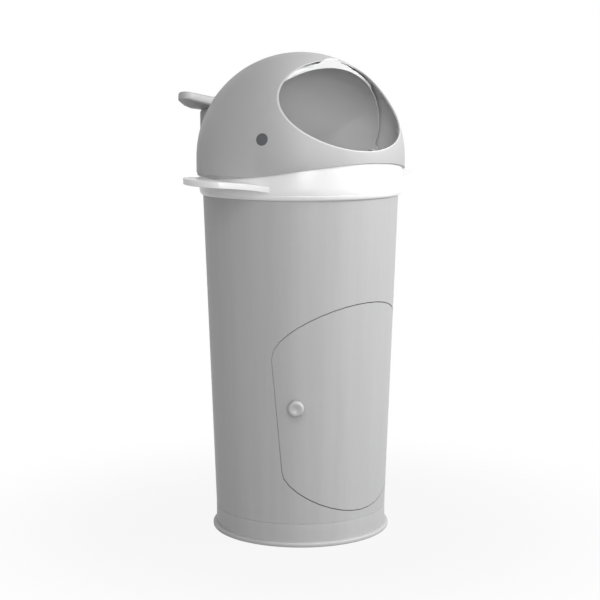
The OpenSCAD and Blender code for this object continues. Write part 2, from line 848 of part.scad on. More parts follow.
module shutter_shell() {
    w = lug_face;
    color("#aeb1b4") difference() {
        union() {
            difference() {
                intersection() {
                    translate([0, 0, pivot_z]) sphere(r = shell_r, $fn = 180);
                    translate([-w, -dome_r, pivot_z - dome_r]) cube([2 * w, 2 * dome_r, 2 * dome_r]);
                }
                translate([0, 0, pivot_z]) sphere(r = shell_r - shell_t, $fn = 180);
                at_rim() translate([-dome_r, -dome_r, -pull_t]) cube(2 * dome_r);
            }
            for (s = [-1, 1]) translate([s * (w - lug_t), 0, pivot_z]) rotate([0, s * 90, 0])
                cylinder(r = lug_d / 2, h = lug_t, $fn = 64);
        }
        for (s = [-1, 1]) translate([s * (w - 2 * lug_t), 0, pivot_z]) rotate([0, s * 90, 0])
            cylinder(r = pivot_r + bush_t + run, h = 3 * lug_t, $fn = 64);
        tail_screw_set(tail_screw_r);
    }
}

pull_turn = 40;
flare_turn = 25;
flare_out = 5;
tab_top_share = 0.35;
pull_steps = 20;
strap_t = 1.4;
strap_w = 9;

function smooth(x) = let (c = max(0, min(1, x))) c * c * (3 - 2 * c);
function pull_r(a) = shell_r
    + flare_out * (1 - smooth((abs(a) - tab_turn) / (flare_turn - tab_turn)))
    + (tab_out - flare_out) * (1 - smooth((abs(a) / tab_turn - tab_top_share) / (1 - tab_top_share)));

// Flat lip on the shell's rim, drawn out to a finger tab, with a strap behind it
module shutter_pull() {
    r_in = shell_r - shell_t;
    color("#fbfbfc") at_rim() union() {
        translate([0, 0, -pull_t]) linear_extrude(pull_t) polygon(concat(
            [for (i = [-pull_steps : pull_steps]) let (a = pull_turn * i / pull_steps)
                [sin(a), cos(a)] * pull_r(a)],
            [for (i = [-pull_steps : pull_steps]) let (a = -pull_turn * i / pull_steps)
                [sin(a), cos(a)] * r_in]));
        translate([0, 0, -pull_t - strap_w]) intersection() {
            difference() {
                cylinder(r = shell_r + strap_t, h = strap_w);
                translate([0, 0, -over]) cylinder(r = shell_r, h = strap_w + 2 * over);
            }
            linear_extrude(strap_w) polygon([[0, 0],
                [tan(pull_turn), 1] * 2 * shell_r, [-tan(pull_turn), 1] * 2 * shell_r]);
        }
    }
}

module pivot_bushes() {
    color("#eceded") for (s = [-1, 1]) translate([s * lug_face, 0, pivot_z])
        rotate([0, s * -90, 0]) difference() {
            union() {
                cylinder(r = pivot_r + bush_t, h = lug_t, $fn = 64);
                translate([0, 0, lug_t])
                    cylinder(r = pivot_r + 2 * bush_t, h = bush_flange, $fn = 64);
            }
            translate([0, 0, -over])
                cylinder(r = pivot_r + run, h = lug_t + bush_flange + 2 * over, $fn = 64);
        }
}

// Middle of the fluke, as shares of the stem's reach behind and above the pivot
fluke_mid_share = [0.912, 0.315];
fluke_mid = fluke_mid_share * stem_reach;
// The stem's shoulders along the fluke, ahead of and behind its middle
shoulder_share = [-0.06, 0.0875];
tongue_share = [0.8, 0.45];

// A point in the stem's plane: a along the fluke, b square to it
function fluke_pt(a, b) = fluke_mid + a * [cos(fluke_slope), -sin(fluke_slope)]
    + b * [sin(fluke_slope), cos(fluke_slope)];

// Side view of the stem, from the shell's back up to the fluke
function stem_outline() =
    let (r = shell_r - shell_t,
         low = [cos(stem_low), sin(stem_low)] * r,
         high = [cos(stem_high), sin(stem_high)] * r,
         back = fluke_pt(shoulder_share.y * stem_reach, -fluke_t / 2),
         front = fluke_pt(shoulder_share.x * stem_reach, -fluke_t / 2),
         bend = [stem_reach, back.y - 0.13 * stem_reach])
    concat([low], curve([low, [0.83, 0.01] * stem_reach, [1, 0.03] * stem_reach, bend], 14),
           [[stem_reach, back.y - fluke_t / 4], back, front],
           curve([front, front - [0.02, 0.075] * stem_reach, high + [0.14, 0.015] * stem_reach, high], 12));

module tail_stem() {
    y1 = tongue_mid - tongue.y / 2;
    y2 = tongue_mid + tongue.y / 2;
    top = tongue.z - fluke_t / 2;
    color("#a2a5a8") difference() {
        translate([-stem_t / 2, 0, pivot_z]) rotate([90, 0, 90]) linear_extrude(stem_t) {
            polygon(stem_outline());
            polygon([fluke_pt(y1, -fluke_t), fluke_pt(y2, -fluke_t),
                fluke_pt(y2, top), fluke_pt(y1, top)]);
        }
        translate([0, 0, pivot_z]) sphere(r = shell_r + seat, $fn = 180);
        tail_screw_set(tail_screw_r);
    }
}

tail_screw_turns = [6, 10.1, 14.2];
tail_screw_r = 1.6;
tail_screw_len = 16;

// Puts children behind the shell at each of the tail's screws, with +Z outwards
module at_tail_screws() {
    for (a = tail_screw_turns) translate([0, 0, pivot_z]) rotate([a - 90, 0, 0])
        translate([0, 0, shell_r - shell_t - seat]) children();
}

module tail_screw_set(r) {
    at_tail_screws() cylinder(r = r, h = tail_screw_len, $fn = 32);
}

module tail_screws() {
    color("#d6d7d8") {
        tail_screw_set(tail_screw_r - run);
        at_tail_screws() translate([0, 0, -tail_screw_r])
            cylinder(r = 2 * tail_screw_r, h = tail_screw_r, $fn = 32);
    }
}

// Each half of the fluke is stretched over discs, given as shares of its half span, its
// thickness and its tilt: out, back, radius, thickness and tilt
fluke_shares = [[0, 0.07, 0.285, 1, 0], [0.25, 0.11, 0.325, 1, 0],
    [0.46, 0.1, 0.31, 1, 0.8], [0.79, -0.02, 0.21, 0.94, 1]];
pill_round_share = 0.2;
pill_steps = 3;

// Disc of radius r and thickness t with rounded edges
module pill(r, t) {
    e = t * pill_round_share;
    rotate_extrude($fn = 40) polygon(concat([[0, -t / 2]],
        [for (s = [-1, 1], i = [0 : pill_steps]) let (a = 90 * (s < 0 ? i - pill_steps : i) / pill_steps)
            [r - e + e * cos(a), s * (t / 2 - e) + e * sin(a)]],
        [[0, t / 2]]));
}

// The stem's tongue in the fluke: width, length and height, and the middle of its length
tongue = [stem_t, (shoulder_share.y - shoulder_share.x) * stem_reach * tongue_share.x,
          fluke_t * tongue_share.y];
tongue_mid = (shoulder_share.x + shoulder_share.y) / 2 * stem_reach;

module tail_fluke() {
    half = fluke_span / 2;
    color("#c8cbcd") translate([0, fluke_mid.x, pivot_z + fluke_mid.y])
        rotate([-fluke_slope, 0, 0]) difference() {
            union() for (s = [-1, 1]) hull() for (p = fluke_shares)
                translate([s * p.x, p.y, p.x * tan(fluke_tilt)] * half)
                    rotate([0, -s * p[4] * fluke_tilt, 0])
                        pill(p[2] * half, p[3] * fluke_t);
            translate([-tongue.x / 2 - run, tongue_mid - tongue.y / 2 - run, -fluke_t])
                cube([tongue.x + 2 * run, tongue.y + 2 * run, fluke_t / 2 + tongue.z + run]);
        }
}

body_shell();
top_rim();
plinth_band();
foot_ring();
floor_plate();
door_frame();
body_hinge_leaves();
body_hinge_rivets();
hinge_pins();
magnet_catch();
catch_magnet();
catch_screws();
door_panel();
door_hinge_leaves();
door_hinge_rivets();
knob();
knob_washer();
knob_screw();
strike_plate();
collar();
seal_ring();
left_flipper();
right_flipper();
dome();
dome_screws();
left_eye();
right_eye();
pivot_pins();
shutter_shell();
shutter_pull();
pivot_bushes();
tail_stem();
tail_fluke();
tail_screws();
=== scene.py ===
"""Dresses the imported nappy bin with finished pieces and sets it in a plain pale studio."""

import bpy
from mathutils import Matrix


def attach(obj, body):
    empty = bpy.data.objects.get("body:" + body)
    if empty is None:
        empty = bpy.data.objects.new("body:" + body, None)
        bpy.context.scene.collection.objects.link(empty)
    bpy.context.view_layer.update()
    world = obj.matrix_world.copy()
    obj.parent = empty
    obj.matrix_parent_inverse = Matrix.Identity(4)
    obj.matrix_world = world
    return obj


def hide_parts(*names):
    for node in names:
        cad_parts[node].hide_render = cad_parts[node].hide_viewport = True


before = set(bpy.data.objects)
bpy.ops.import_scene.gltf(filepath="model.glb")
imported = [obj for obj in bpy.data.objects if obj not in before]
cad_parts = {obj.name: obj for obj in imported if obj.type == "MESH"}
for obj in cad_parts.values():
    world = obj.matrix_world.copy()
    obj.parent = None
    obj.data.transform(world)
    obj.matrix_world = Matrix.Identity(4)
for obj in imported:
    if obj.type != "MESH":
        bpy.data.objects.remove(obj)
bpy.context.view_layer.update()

import logging
import math
from dataclasses import dataclass, replace
from enum import Enum
from functools import cache
from typing import Callable, Iterable, Sequence

import bmesh
import bpy
import numpy as np
from bmesh.types import BMEdge, BMesh
from bpy.types import ID, Light, Material, Mesh, Node, NodeSocket, NodeTree, Object
from mathutils import Matrix, Vector

LOG = logging.getLogger("nappy_bin")
MM = 0.001
Triple = tuple[float, float, float]
Seat = tuple[Vector, Vector]
Inputs = dict[str, tuple[str, object]]

# Angles in degrees: past CREASE an edge stays sharp, and a face that is turned by no more than
# REACH from a true surface follows it. TIGHT is the reach where flat faces lie nearly along one.
# Facets that are turned by less than ONE_FACE are one face.
CREASE = 32.0
REACH = 8.0
TIGHT = 3.0
ONE_FACE = 0.05

# Distances in metres under which points are one point, in a CAD mesh and in a grown one.
CAD_JOIN = 2e-6
GROWN_JOIN = 1e-7

# The least length that a direction is divided by.
TINY = 1e-9

FLOAT, WHOLE, VECTOR = "NodeSocketFloat", "NodeSocketInt", "NodeSocketVector"
WHITE = (1.0, 1.0, 1.0, 1.0)


# Shared sizes --------------------------


@dataclass(frozen=True)
class Form:
    """The sizes that several pieces share, in millimetres and degrees, as the solids have them."""

    seam_z: float = 31.0
    seam_r: float = 116.5
    lip_z: float = 459.5
    lip_r: float = 132.0
    sheet_t: float = 1.2
    seat: float = 0.1
    pivot_z: float = 508.349
    dome_r: float = 140.485
    inner_r: float = 138.285
    shell_r: float = 134.785
    shell_t: float = 1.8
    door_turn: float = 4.0
    rim_slope: float = 63.4

    @property
    def slope(self) -> float:
        """How much the wall's radius grows for each millimetre of height."""
        return (self.lip_r - self.seam_r) / (self.lip_z - self.seam_z)

    def wall_r(self, z: float) -> float:
        """Outer radius of the tapered wall at height z."""
        return self.seam_r + (z - self.seam_z) * self.slope

    def on_wall(self, heading: float, z: float) -> Seat:
        """Finds a seat on the wall.

        Args:
            heading: angle round the wall from +X, in radians.
            z: height in millimetres.

        Returns:
            The point in metres and the outward direction there.
        """
        tilt = math.atan(self.slope)
        out = Vector((math.cos(heading) * math.cos(tilt), math.sin(heading) * math.cos(tilt),
                      -math.sin(tilt)))
        r = self.wall_r(z)
        foot = Vector((r * math.cos(heading), r * math.sin(heading), z))
        return (foot + out * self.seat) * MM, out


FORM = Form()


@dataclass(frozen=True)
class Mouth:
    """The dome's mouth: an ellipse seen along a line that looks up from the front."""

    tilt: float = 15.0
    top_turn: float = 50.9
    low_turn: float = 9.6
    side_turn: float = 43.2

    def ellipse(self) -> Triple:
        """Returns the ellipse's middle height, half height and half width in millimetres."""
        top, low, wide = (FORM.dome_r * math.sin(math.radians(turn)) for turn in (
            self.top_turn, -self.low_turn, self.side_turn))
        return (top + low) / 2, (top - low) / 2, wide


MOUTH = Mouth()


class Facing(Enum):
    """The true surfaces that faces of a piece can follow."""

    WALL = "wall"
    BALL = "ball"
    ROUND = "round"
    RIM = "rim"
    SIDE = "side"


def true_normals(points: np.ndarray, facing: Facing) -> np.ndarray:
    """Gives the outward direction of a true surface at points that lie on it or beside it.

    Args:
        points: n rows of x, y, z in metres.
        facing: the surface.

    Returns:
        n unit directions.
    """
    out = points.copy()
    if facing is Facing.BALL:
        out[:, 2] -= FORM.pivot_z * MM
    elif facing is Facing.ROUND:
        out[:, 2] = 0
    elif facing is Facing.RIM:
        slope = math.radians(FORM.rim_slope)
        out[:] = (0.0, -math.sin(slope), -math.cos(slope))
    elif facing is Facing.SIDE:
        out[:] = (1.0, 0.0, 0.0)
    else:
        out[:, 2] = -FORM.slope * np.hypot(points[:, 0], points[:, 1])
    return out / np.maximum(np.linalg.norm(out, axis=1, keepdims=True), TINY)


# Mesh tools ----------------------------


def new_object(name: str, data: ID) -> Object:
    """Links a new object with this mesh, lamp or camera to the scene."""
    obj = bpy.data.objects.new(name, data)
    bpy.context.scene.collection.objects.link(obj)
    return obj


def read(items: bpy.types.bpy_prop_collection, key: str, kind: type, width: int) -> np.ndarray:
    """Reads one property of each vertex, corner or face of a mesh, a row for each."""
    found = np.zeros(len(items) * width, kind)
    items.foreach_get(key, found)
    return found.reshape(-1, width)


def shade(mesh: Mesh, crease: float, facing: Facing | None = None, reach: float = REACH) -> None:
    """Shades a mesh smooth between its creases, and exactly where a true surface is known.

    Args:
        mesh: the mesh, changed in place.
        crease: angle in degrees past which an edge stays sharp.
        facing: the true surface that its faces may follow.
        reach: how far a face may be turned from that surface, in degrees.
    """
    mesh.shade_smooth()
    mesh.set_sharp_from_angle(angle=math.radians(crease))
    if not facing:
        return
    normals = read(mesh.corner_normals, "vector", np.float32, 3).astype(float)
    corners = read(mesh.loops, "vertex_index", np.int32, 1)[:, 0]
    points = read(mesh.vertices, "co", np.float32, 3).astype(float)[corners]
    sizes = read(mesh.polygons, "loop_total", np.int32, 1)[:, 0]
    faces = np.repeat(read(mesh.polygons, "normal", np.float32, 3).astype(float), sizes, axis=0)
    true = true_normals(points, facing)
    along = np.einsum("ij,ij->i", true, faces)
    hit = np.abs(along) > math.cos(math.radians(reach))
    normals[hit] = true[hit] * np.sign(along[hit])[:, None]
    mesh.normals_split_custom_set(normals.tolist())


def round_edges(bm: BMesh, edges: list[BMEdge], width: float, segments: int) -> None:
    """Rounds edges of a mesh by a width in millimetres, with this many facets across each."""
    bmesh.ops.bevel(bm, geom=edges, offset=width * MM, offset_type="OFFSET", segments=segments,
                    profile=0.5, affect="EDGES", clamp_overlap=True)


# Shader groups -------------------------


class Tree:
    """A short way to add and join the nodes of a shader or geometry tree."""

    def __init__(self, tree: NodeTree) -> None:
        """Starts on a tree that exists."""
        self.tree = tree

    def add(self, kind: str, inputs: dict | None = None, **settings: object) -> Node:
        """Adds a node.

        Args:
            kind: the node's type name.
            inputs: values or output sockets by input name or number.
            settings: properties of the node itself.

        Returns:
            The node.
        """
        node = self.tree.nodes.new(kind)
        for key, value in settings.items():
            setattr(node, key, value)
        for key, value in (inputs or {}).items():
            self.put(node.inputs[key], value)
        return node

    def put(self, socket: NodeSocket, value: object) -> None:
        """Links an output to an input, or sets the input's value."""
        if isinstance(value, NodeSocket):
            self.tree.links.new(value, socket)
        else:
            socket.default_value = value

    def math(self, operation: str, *values: object) -> NodeSocket:
        """Adds a Math node and returns its output."""
        return self.add("ShaderNodeMath", dict(enumerate(values)), operation=operation).outputs[0]

    def blend(self, *shares: tuple[object, object]) -> NodeSocket:
        """Adds up two values, each times its own share."""
        return self.math("ADD", *(self.math("MULTIPLY", value, share) for value, share in shares))

    def ramp(self, value: NodeSocket, low: float, high: float, start: float = 0.0,
             end: float = 1.0) -> NodeSocket:
        """Maps low..high onto start..end, clamped and eased."""
        return self.add("ShaderNodeMapRange", {0: value, 1: low, 2: high, 3: start, 4: end},
                        interpolation_type="SMOOTHSTEP").outputs[0]

    def vector(self, x: object = 0.0, y: object = 0.0, z: object = 0.0) -> NodeSocket:
        """Combines three numbers into a vector."""
        return self.add("ShaderNodeCombineXYZ", {0: x, 1: y, 2: z}).outputs[0]

    def upright(self, place: NodeSocket, share: float) -> NodeSocket:
        """Draws a place's pattern out along Z, by shrinking its height to a share."""
        scale = (1.0, 1.0, share)
        return self.add("ShaderNodeMapping", {"Vector": place, "Scale": scale}).outputs[0]

    def noise(self, place: NodeSocket, scale: object, detail: float = 2.0,
              roughness: float = 0.5) -> NodeSocket:
        """Adds a Noise Texture and returns its value."""
        return self.add("ShaderNodeTexNoise", {
            "Vector": place, "Scale": scale, "Detail": detail,
            "Roughness": roughness}).outputs[0]


def name_inputs(tree: NodeTree, inputs: Inputs) -> None:
    """Gives a tree its inputs: socket type and default value by name."""
    for key, (kind, value) in inputs.items():
        socket = tree.interface.new_socket(name=key, in_out="INPUT", socket_type=kind)
        if value is not None:
            socket.default_value = value


def cleared_tree(owner: ID) -> Tree:
    """Empties the shader tree of a material or a world."""
    owner.use_nodes = True
    owner.node_tree.nodes.clear()
    return Tree(owner.node_tree)


def shader_group(name: str, inputs: Inputs, outputs: Iterable[str],
                 build: Callable[[Tree, dict], dict]) -> NodeTree:
    """Builds a shader node group.

    Args:
        name: the group's name.
        inputs: socket type and default value by input name, after the place.
        outputs: names of its float outputs.
        build: given the tree and the input sockets, returns the outputs' sources.

    Returns:
        The group.
    """
    group = bpy.data.node_groups.new(name, "ShaderNodeTree")
    inputs = {"Vector": (VECTOR, None)} | inputs
    name_inputs(group, inputs)
    for key in outputs:
        group.interface.new_socket(name=key, in_out="OUTPUT", socket_type=FLOAT)
    tree = Tree(group)
    start = tree.add("NodeGroupInput")
    tree.add("NodeGroupOutput", build(tree, {key: start.outputs[key] for key in inputs}))
    return group


class Effects:
    """The shader groups that the finishes share, each built once."""

    def __init__(self) -> None:
        """Builds every group."""
        relief = ("Height", "Tone")
        self.peel = shader_group("orange_peel", {
            "Size": (FLOAT, 1.6), "Mottle": (FLOAT, 0.5)}, relief, self._peel)
        self.grain = shader_group("moulded_grain", {
            "Size": (FLOAT, 0.5), "Flow": (FLOAT, 40.0)}, relief, self._grain)
        self.brush = shader_group("brushed_streaks", {"Size": (FLOAT, 1.0)}, relief, self._brush)
        self.wear = shader_group("edge_wear", {
            "Radius": (FLOAT, 0.0008), "Break": (FLOAT, 0.5)}, ("Mask",), self._wear)
        self.dust = shader_group("settled_dust", {"Amount": (FLOAT, 0.3)}, ("Mask",), self._dust)
        # The dome's masks paint light: a highlight band round the mouth, and light over the inside
        # of the head.
        self.dome = shader_group("dome_places", {
            "Width": (FLOAT, 1.5), "Radius": (FLOAT, FORM.inner_r)}, ("Painted_Lip_Highlight", "Inside"), self._dome_painted_light)

    @staticmethod
    def _peel(t: Tree, i: dict) -> dict:
        """Sprayed powder: low round swells of a set size in millimetres, with a fine speckle."""
        scale = t.math("DIVIDE", 1 / MM, i["Size"])
        swell = t.noise(i["Vector"], scale, detail=1.0, roughness=0.4)
        speck = t.noise(i["Vector"], t.math("MULTIPLY", scale, 3.4), detail=1.0, roughness=0.6)
        cloud = t.noise(t.upright(i["Vector"], share=0.04), scale=70.0, detail=3.0, roughness=0.6)
        clear = t.math("SUBTRACT", 1.0, i["Mottle"])
        return {"Height": t.blend((swell, 0.8), (speck, 0.2)),
                "Tone": t.blend((t.ramp(speck, 0.35, 0.65), i["Mottle"]),
                                (t.ramp(cloud, 0.3, 0.7), clear))}

    @staticmethod
    def _grain(t: Tree, i: dict) -> dict:
        """Moulded plastic: a fine spark-eroded grain, with faint flow clouds in its tone."""
        scale = t.math("DIVIDE", 1 / MM, i["Size"])
        cells = t.add("ShaderNodeTexVoronoi", {"Vector": i["Vector"], "Scale": scale},
                      feature="SMOOTH_F1").outputs["Distance"]
        fine = t.noise(i["Vector"], t.math("MULTIPLY", scale, 1.7), detail=2.0, roughness=0.6)
        flow = t.noise(i["Vector"], i["Flow"], detail=3.0, roughness=0.55)
        return {"Height": t.blend((cells, 0.6), (fine, 0.4)),
                "Tone": t.blend((t.ramp(flow, 0.3, 0.7), 0.7), (fine, 0.3))}

    @staticmethod
    def _brush(t: Tree, i: dict) -> dict:
        """Rolled or turned metal: long streaks one way and a fine grain across them."""
        scale = t.math("DIVIDE", 1 / MM, i["Size"])
        streak = t.noise(t.upright(i["Vector"], share=0.06), scale, detail=3.0, roughness=0.6)
        bloom = t.noise(i["Vector"], scale=180.0)
        return {"Height": streak, "Tone": t.blend((streak, 0.6), (bloom, 0.4))}

    @staticmethod
    def _wear(t: Tree, i: dict) -> dict:
        """Edges that are rubbed: where the rounded normal leaves the true one, broken by noise."""
        rounded_off = t.add("ShaderNodeBevel", {"Radius": i["Radius"]}, samples=6).outputs[0]
        plain = t.add("ShaderNodeNewGeometry").outputs["Normal"]
        dot = t.add("ShaderNodeVectorMath", {0: rounded_off, 1: plain}, operation="DOT_PRODUCT")
        edge = t.ramp(dot.outputs["Value"], 0.995, 0.9)
        patch = t.ramp(t.noise(i["Vector"], scale=220.0, detail=3.0, roughness=0.6), 0.42, 0.62)
        kept = t.math("ADD", t.math("MULTIPLY", patch, i["Break"]),
                      t.math("SUBTRACT", 1.0, i["Break"]))
        return {"Mask": t.math("MULTIPLY", edge, kept)}

    @staticmethod
    def _dust(t: Tree, i: dict) -> dict:
        """Dust that has settled on faces that look up, in soft patches."""
        normal = t.add("ShaderNodeNewGeometry").outputs["Normal"]
        up = t.ramp(t.add("ShaderNodeSeparateXYZ", {0: normal}).outputs["Z"], 0.35, 0.95)
        spread = t.noise(i["Vector"], scale=26.0, detail=4.0, roughness=0.65)
        patch = t.ramp(spread, 0.35, 0.75, start=0.35)
        return {"Mask": t.math("MULTIPLY", t.math("MULTIPLY", up, patch), i["Amount"])}

    @staticmethod
    def _dome_painted_light(t: Tree, i: dict) -> dict:
        """Masks for painted light on the dome: a painted highlight band of a set width round the
        mouth, and painted light on all that lies inside a ball of a set radius, both in
        millimetres."""
        tilt = math.radians(MOUTH.tilt)
        middle, half, wide = MOUTH.ellipse()
        local = t.add("ShaderNodeVectorMath", {0: i["Vector"], 1: (0, 0, -FORM.pivot_z * MM)},
                      operation="ADD").outputs[0]
        local = t.add("ShaderNodeVectorMath", {0: local, "Scale": 1 / MM},
                      operation="SCALE").outputs[0]
        x, y, z = t.add("ShaderNodeSeparateXYZ", {0: local}).outputs
        up = t.blend((z, math.cos(tilt)), (y, math.sin(tilt)))
        ahead = t.blend((z, math.sin(tilt)), (y, -math.cos(tilt)))
        side = t.math("DIVIDE", x, wide)
        rise = t.math("DIVIDE", t.math("SUBTRACT", up, middle), half)
        across = t.math("SQRT", t.blend((side, side), (rise, rise)))
        out = t.math("MULTIPLY", t.math("SUBTRACT", across, 1.0), math.sqrt(wide * half))
        band = t.ramp(t.math("DIVIDE", out, i["Width"]), 0.8, 1.2, start=1.0, end=0.0)
        r = t.add("ShaderNodeVectorMath", {0: local}, operation="LENGTH").outputs["Value"]
        return {"Painted_Lip_Highlight": t.math("MULTIPLY", band, t.math("GREATER_THAN", ahead, 0.0)),
                "Inside": t.math("LESS_THAN", r, i["Radius"])}


EFFECTS = Effects()


# Finishes ------------------------------


def grey(tone: float, lean: float = 0.005) -> Triple:
    """Gives a grey that leans a little to blue."""
    return tone, tone, tone + lean


@dataclass(frozen=True)
class Finish:
    """A surface finish: its colour, gloss and the effects that give it its texture.

    The sizes of the grain and of the worn edges are in millimetres. A painted light colour
    lightens all within a ball about the head's pivot, standing in for light that reaches the
    inside, and a painted highlight colour lightens the band round the mouth.
    """

    name: str
    colour: Triple
    roughness: float
    metallic: float = 0.0
    coat: float = 0.0
    coat_rough: float = 0.12
    specular: float = 0.5
    effect: str = "grain"
    size: float = 0.5
    depth: float = 0.1
    tone: float = 0.02
    rough_tone: float = 0.06
    worn: Triple = grey(0.6, 0.01)
    wear: float = 0.3
    wear_r: float = 0.8
    wear_gloss: float = 0.1
    dust: float = 0.05
    dust_colour: Triple = (0.55, 0.54, 0.52)
    dust_dull: float = 0.35
    subsurface: float = 0.0
    # Painted light: a lighter colour round the mouth stands in for a highlight, and a lighter
    # colour inside the head stands in for light that reaches it.
    painted_lip_highlight: Triple | None = None
    painted_inside_light: Triple | None = None
    painted_light_r: float = FORM.inner_r + 0.5
    slot: str = ""

    @cache
    def material(self) -> Material:
        """Builds the finish as a material, at its first use."""
        mat = bpy.data.materials.new(self.name)
        t = cleared_tree(mat)
        place = t.add("ShaderNodeTexCoord").outputs["Object"]

        def group(tree: NodeTree, key: str, value: float) -> Node:
            """Places a shared group with this finish's own value for one of its inputs."""
            return t.add("ShaderNodeGroup", {"Vector": place, key: value}, node_tree=tree)

        def mixed(a: object, b: object, factor: object) -> NodeSocket:
            """Mixes two colours, which a Mix node takes as inputs 6 and 7 and gives as output 2."""
            node = t.add("ShaderNodeMix", {0: factor}, data_type="RGBA")
            for socket, value in ((node.inputs[6], a), (node.inputs[7], b)):
                t.put(socket, value if isinstance(value, NodeSocket) else (*value, 1.0))
            return node.outputs[2]

        base = group(getattr(EFFECTS, self.effect), "Size", self.size).outputs
        worn = group(EFFECTS.wear, "Radius", self.wear_r * MM).outputs["Mask"]
        dusty = group(EFFECTS.dust, "Amount", self.dust).outputs["Mask"]
        dark = tuple(c * (1 - self.tone) for c in self.colour)
        light = tuple(min(1.0, c * (1 + self.tone)) for c in self.colour)
        colour = mixed(dark, light, base["Tone"])
        colour = mixed(colour, self.worn, t.math("MULTIPLY", worn, self.wear))
        colour = mixed(colour, self.dust_colour, dusty)
        # Painted light: the inside is lightened in place of light that reaches it, and the band
        # round the mouth is lightened as a painted highlight.
        if self.painted_inside_light:
            dome = group(EFFECTS.dome, "Radius", self.painted_light_r).outputs
            colour = mixed(colour, self.painted_inside_light, dome["Inside"])
            if self.painted_lip_highlight:
                colour = mixed(colour, self.painted_lip_highlight, dome["Painted_Lip_Highlight"])
        low, high = self.roughness - self.rough_tone, self.roughness + self.rough_tone
        rough = t.ramp(base["Tone"], 0.0, 1.0, low, high)
        rough = t.math("SUBTRACT", rough, t.math("MULTIPLY", worn, self.wear_gloss))
        rough = t.math("ADD", rough, t.math("MULTIPLY", dusty, self.dust_dull))
        bump = t.add("ShaderNodeBump", {
            "Height": base["Height"], "Strength": self.depth, "Distance": self.size * MM})
        shader = t.add("ShaderNodeBsdfPrincipled", {
            "Base Color": colour, "Roughness": rough, "Metallic": self.metallic,
            "Coat Weight": self.coat, "Coat Roughness": self.coat_rough,
            "Specular IOR Level": self.specular, "Subsurface Weight": self.subsurface,
            "Subsurface Radius": (1.0, 0.95, 0.9), "Subsurface Scale": 2 * MM,
            "Normal": bump.outputs[0]})
        t.add("ShaderNodeOutputMaterial", {"Surface": shader.outputs[0]})
        return mat


class Coat(Enum):
    """Every finish on the bin. Its slot in the record has its name, unless it says another."""

    GREY_STEEL = Finish(
        "grey_powder_coat", grey(0.44, 0.003), 0.46, specular=0.45, effect="peel", size=1.5,
        depth=0.12, tone=0.05, rough_tone=0.05, wear=0.35, wear_r=0.7, dust=0.12)
    # The frame is darkened far below the wall's grey, so that the door's gap shows a painted shadow
    # line.
    FRAME_PAINTED_SHADE = replace(
        GREY_STEEL, name="frame_coat_painted_gap_shade", colour=grey(0.13), roughness=0.5, specular=0.5,
        tone=0.018, worn=grey(0.5, 0.01), slot="grey_steel")
    ROLLED_STEEL = Finish(
        "grey_rolled_hem", grey(0.42), 0.42, effect="peel", size=1.2, wear=0.5, wear_r=1.0)
    GREY_FOOT = Finish(
        "grey_foot_plastic", grey(0.46), 0.5, size=0.6, depth=0.2, tone=0.03, wear_r=1.0,
        dust=0.35)
    ZINC_STEEL = Finish(
        "zinc_plate", (0.68, 0.69, 0.7), 0.34, metallic=1.0, effect="brush", depth=0.08, tone=0.1,
        rough_tone=0.1, worn=grey(0.8, 0.0), wear=0.4)
    GREY_KNOB = Finish(
        "grey_knob_plastic", grey(0.46), 0.36, coat=0.1, size=0.4, worn=grey(0.62, 0.0), wear=0.2,
        dust=0.0)
    GREY_PLASTIC = Finish(
        "grey_moulded_plastic", grey(0.42), 0.47, size=0.45, depth=0.16, worn=grey(0.62, 0.01),
        wear=0.25, wear_r=0.9, dust=0.1)
    # The dome's inside is lightened as painted light, and the band round its mouth as a painted
    # highlight.
    GREY_DOME = replace(
        GREY_PLASTIC, name="grey_dome_plastic", painted_lip_highlight=grey(0.6), painted_inside_light=grey(0.68),
        slot="grey_plastic")
    # The shell's inside is lightened as painted light.
    GREY_SHELL = replace(
        GREY_PLASTIC, name="grey_shell_plastic", roughness=0.5, depth=0.12, worn=grey(0.5, 0.01),
        wear=0.3, dust=0.04, painted_inside_light=grey(0.6), painted_light_r=FORM.shell_r - FORM.shell_t / 2,
        slot="grey_plastic")
    WHITE_PLASTIC = Finish(
        "white_moulded_plastic", grey(0.82, 0.0), 0.3, coat=0.15, depth=0.05, tone=0.008,
        rough_tone=0.03, worn=(0.93, 0.93, 0.92), dust=0.03, subsurface=0.08)
    # The back of the eye, inside the head, is lightened as painted light to match the dome's
    # inside.
    DARK_PLASTIC = Finish(
        "dark_eye_plastic", (0.085, 0.087, 0.095), 0.4, size=0.3, tone=0.06,
        worn=grey(0.2, 0.01), wear=0.4, wear_r=0.5, dust=0.04, painted_inside_light=grey(0.68))
    MAGNET_BLACK = Finish(
        "black_ferrite", grey(0.03, 0.002), 0.62, size=0.25, depth=0.4, tone=0.2,
        worn=grey(0.1, 0.0), wear=0.6, dust=0.0)
    SOFT_SEAL = Finish(
        "soft_grey_seal", grey(0.3, 0.01), 0.75, size=0.35, depth=0.35, tone=0.06,
        worn=grey(0.4, 0.0), wear=0.2, dust=0.2)


# Geometry Nodes ------------------------


class Head(Enum):
    """The heads that fasteners come with."""

    RIVET = "rivet"
    CROSS = "cross"
    SUNK = "sunk"


SIZES = ("Head Radius", "Head Height", "Shank Radius", "Shank Length", "Back Radius",
         "Back Height")

# A cross recess: the length and width of its slots as shares of the head's radius, and its depth
# as a share of the head's height.
RECESS_SPAN, RECESS_SLOT, RECESS_DEPTH = 1.15, 0.26, 1.1


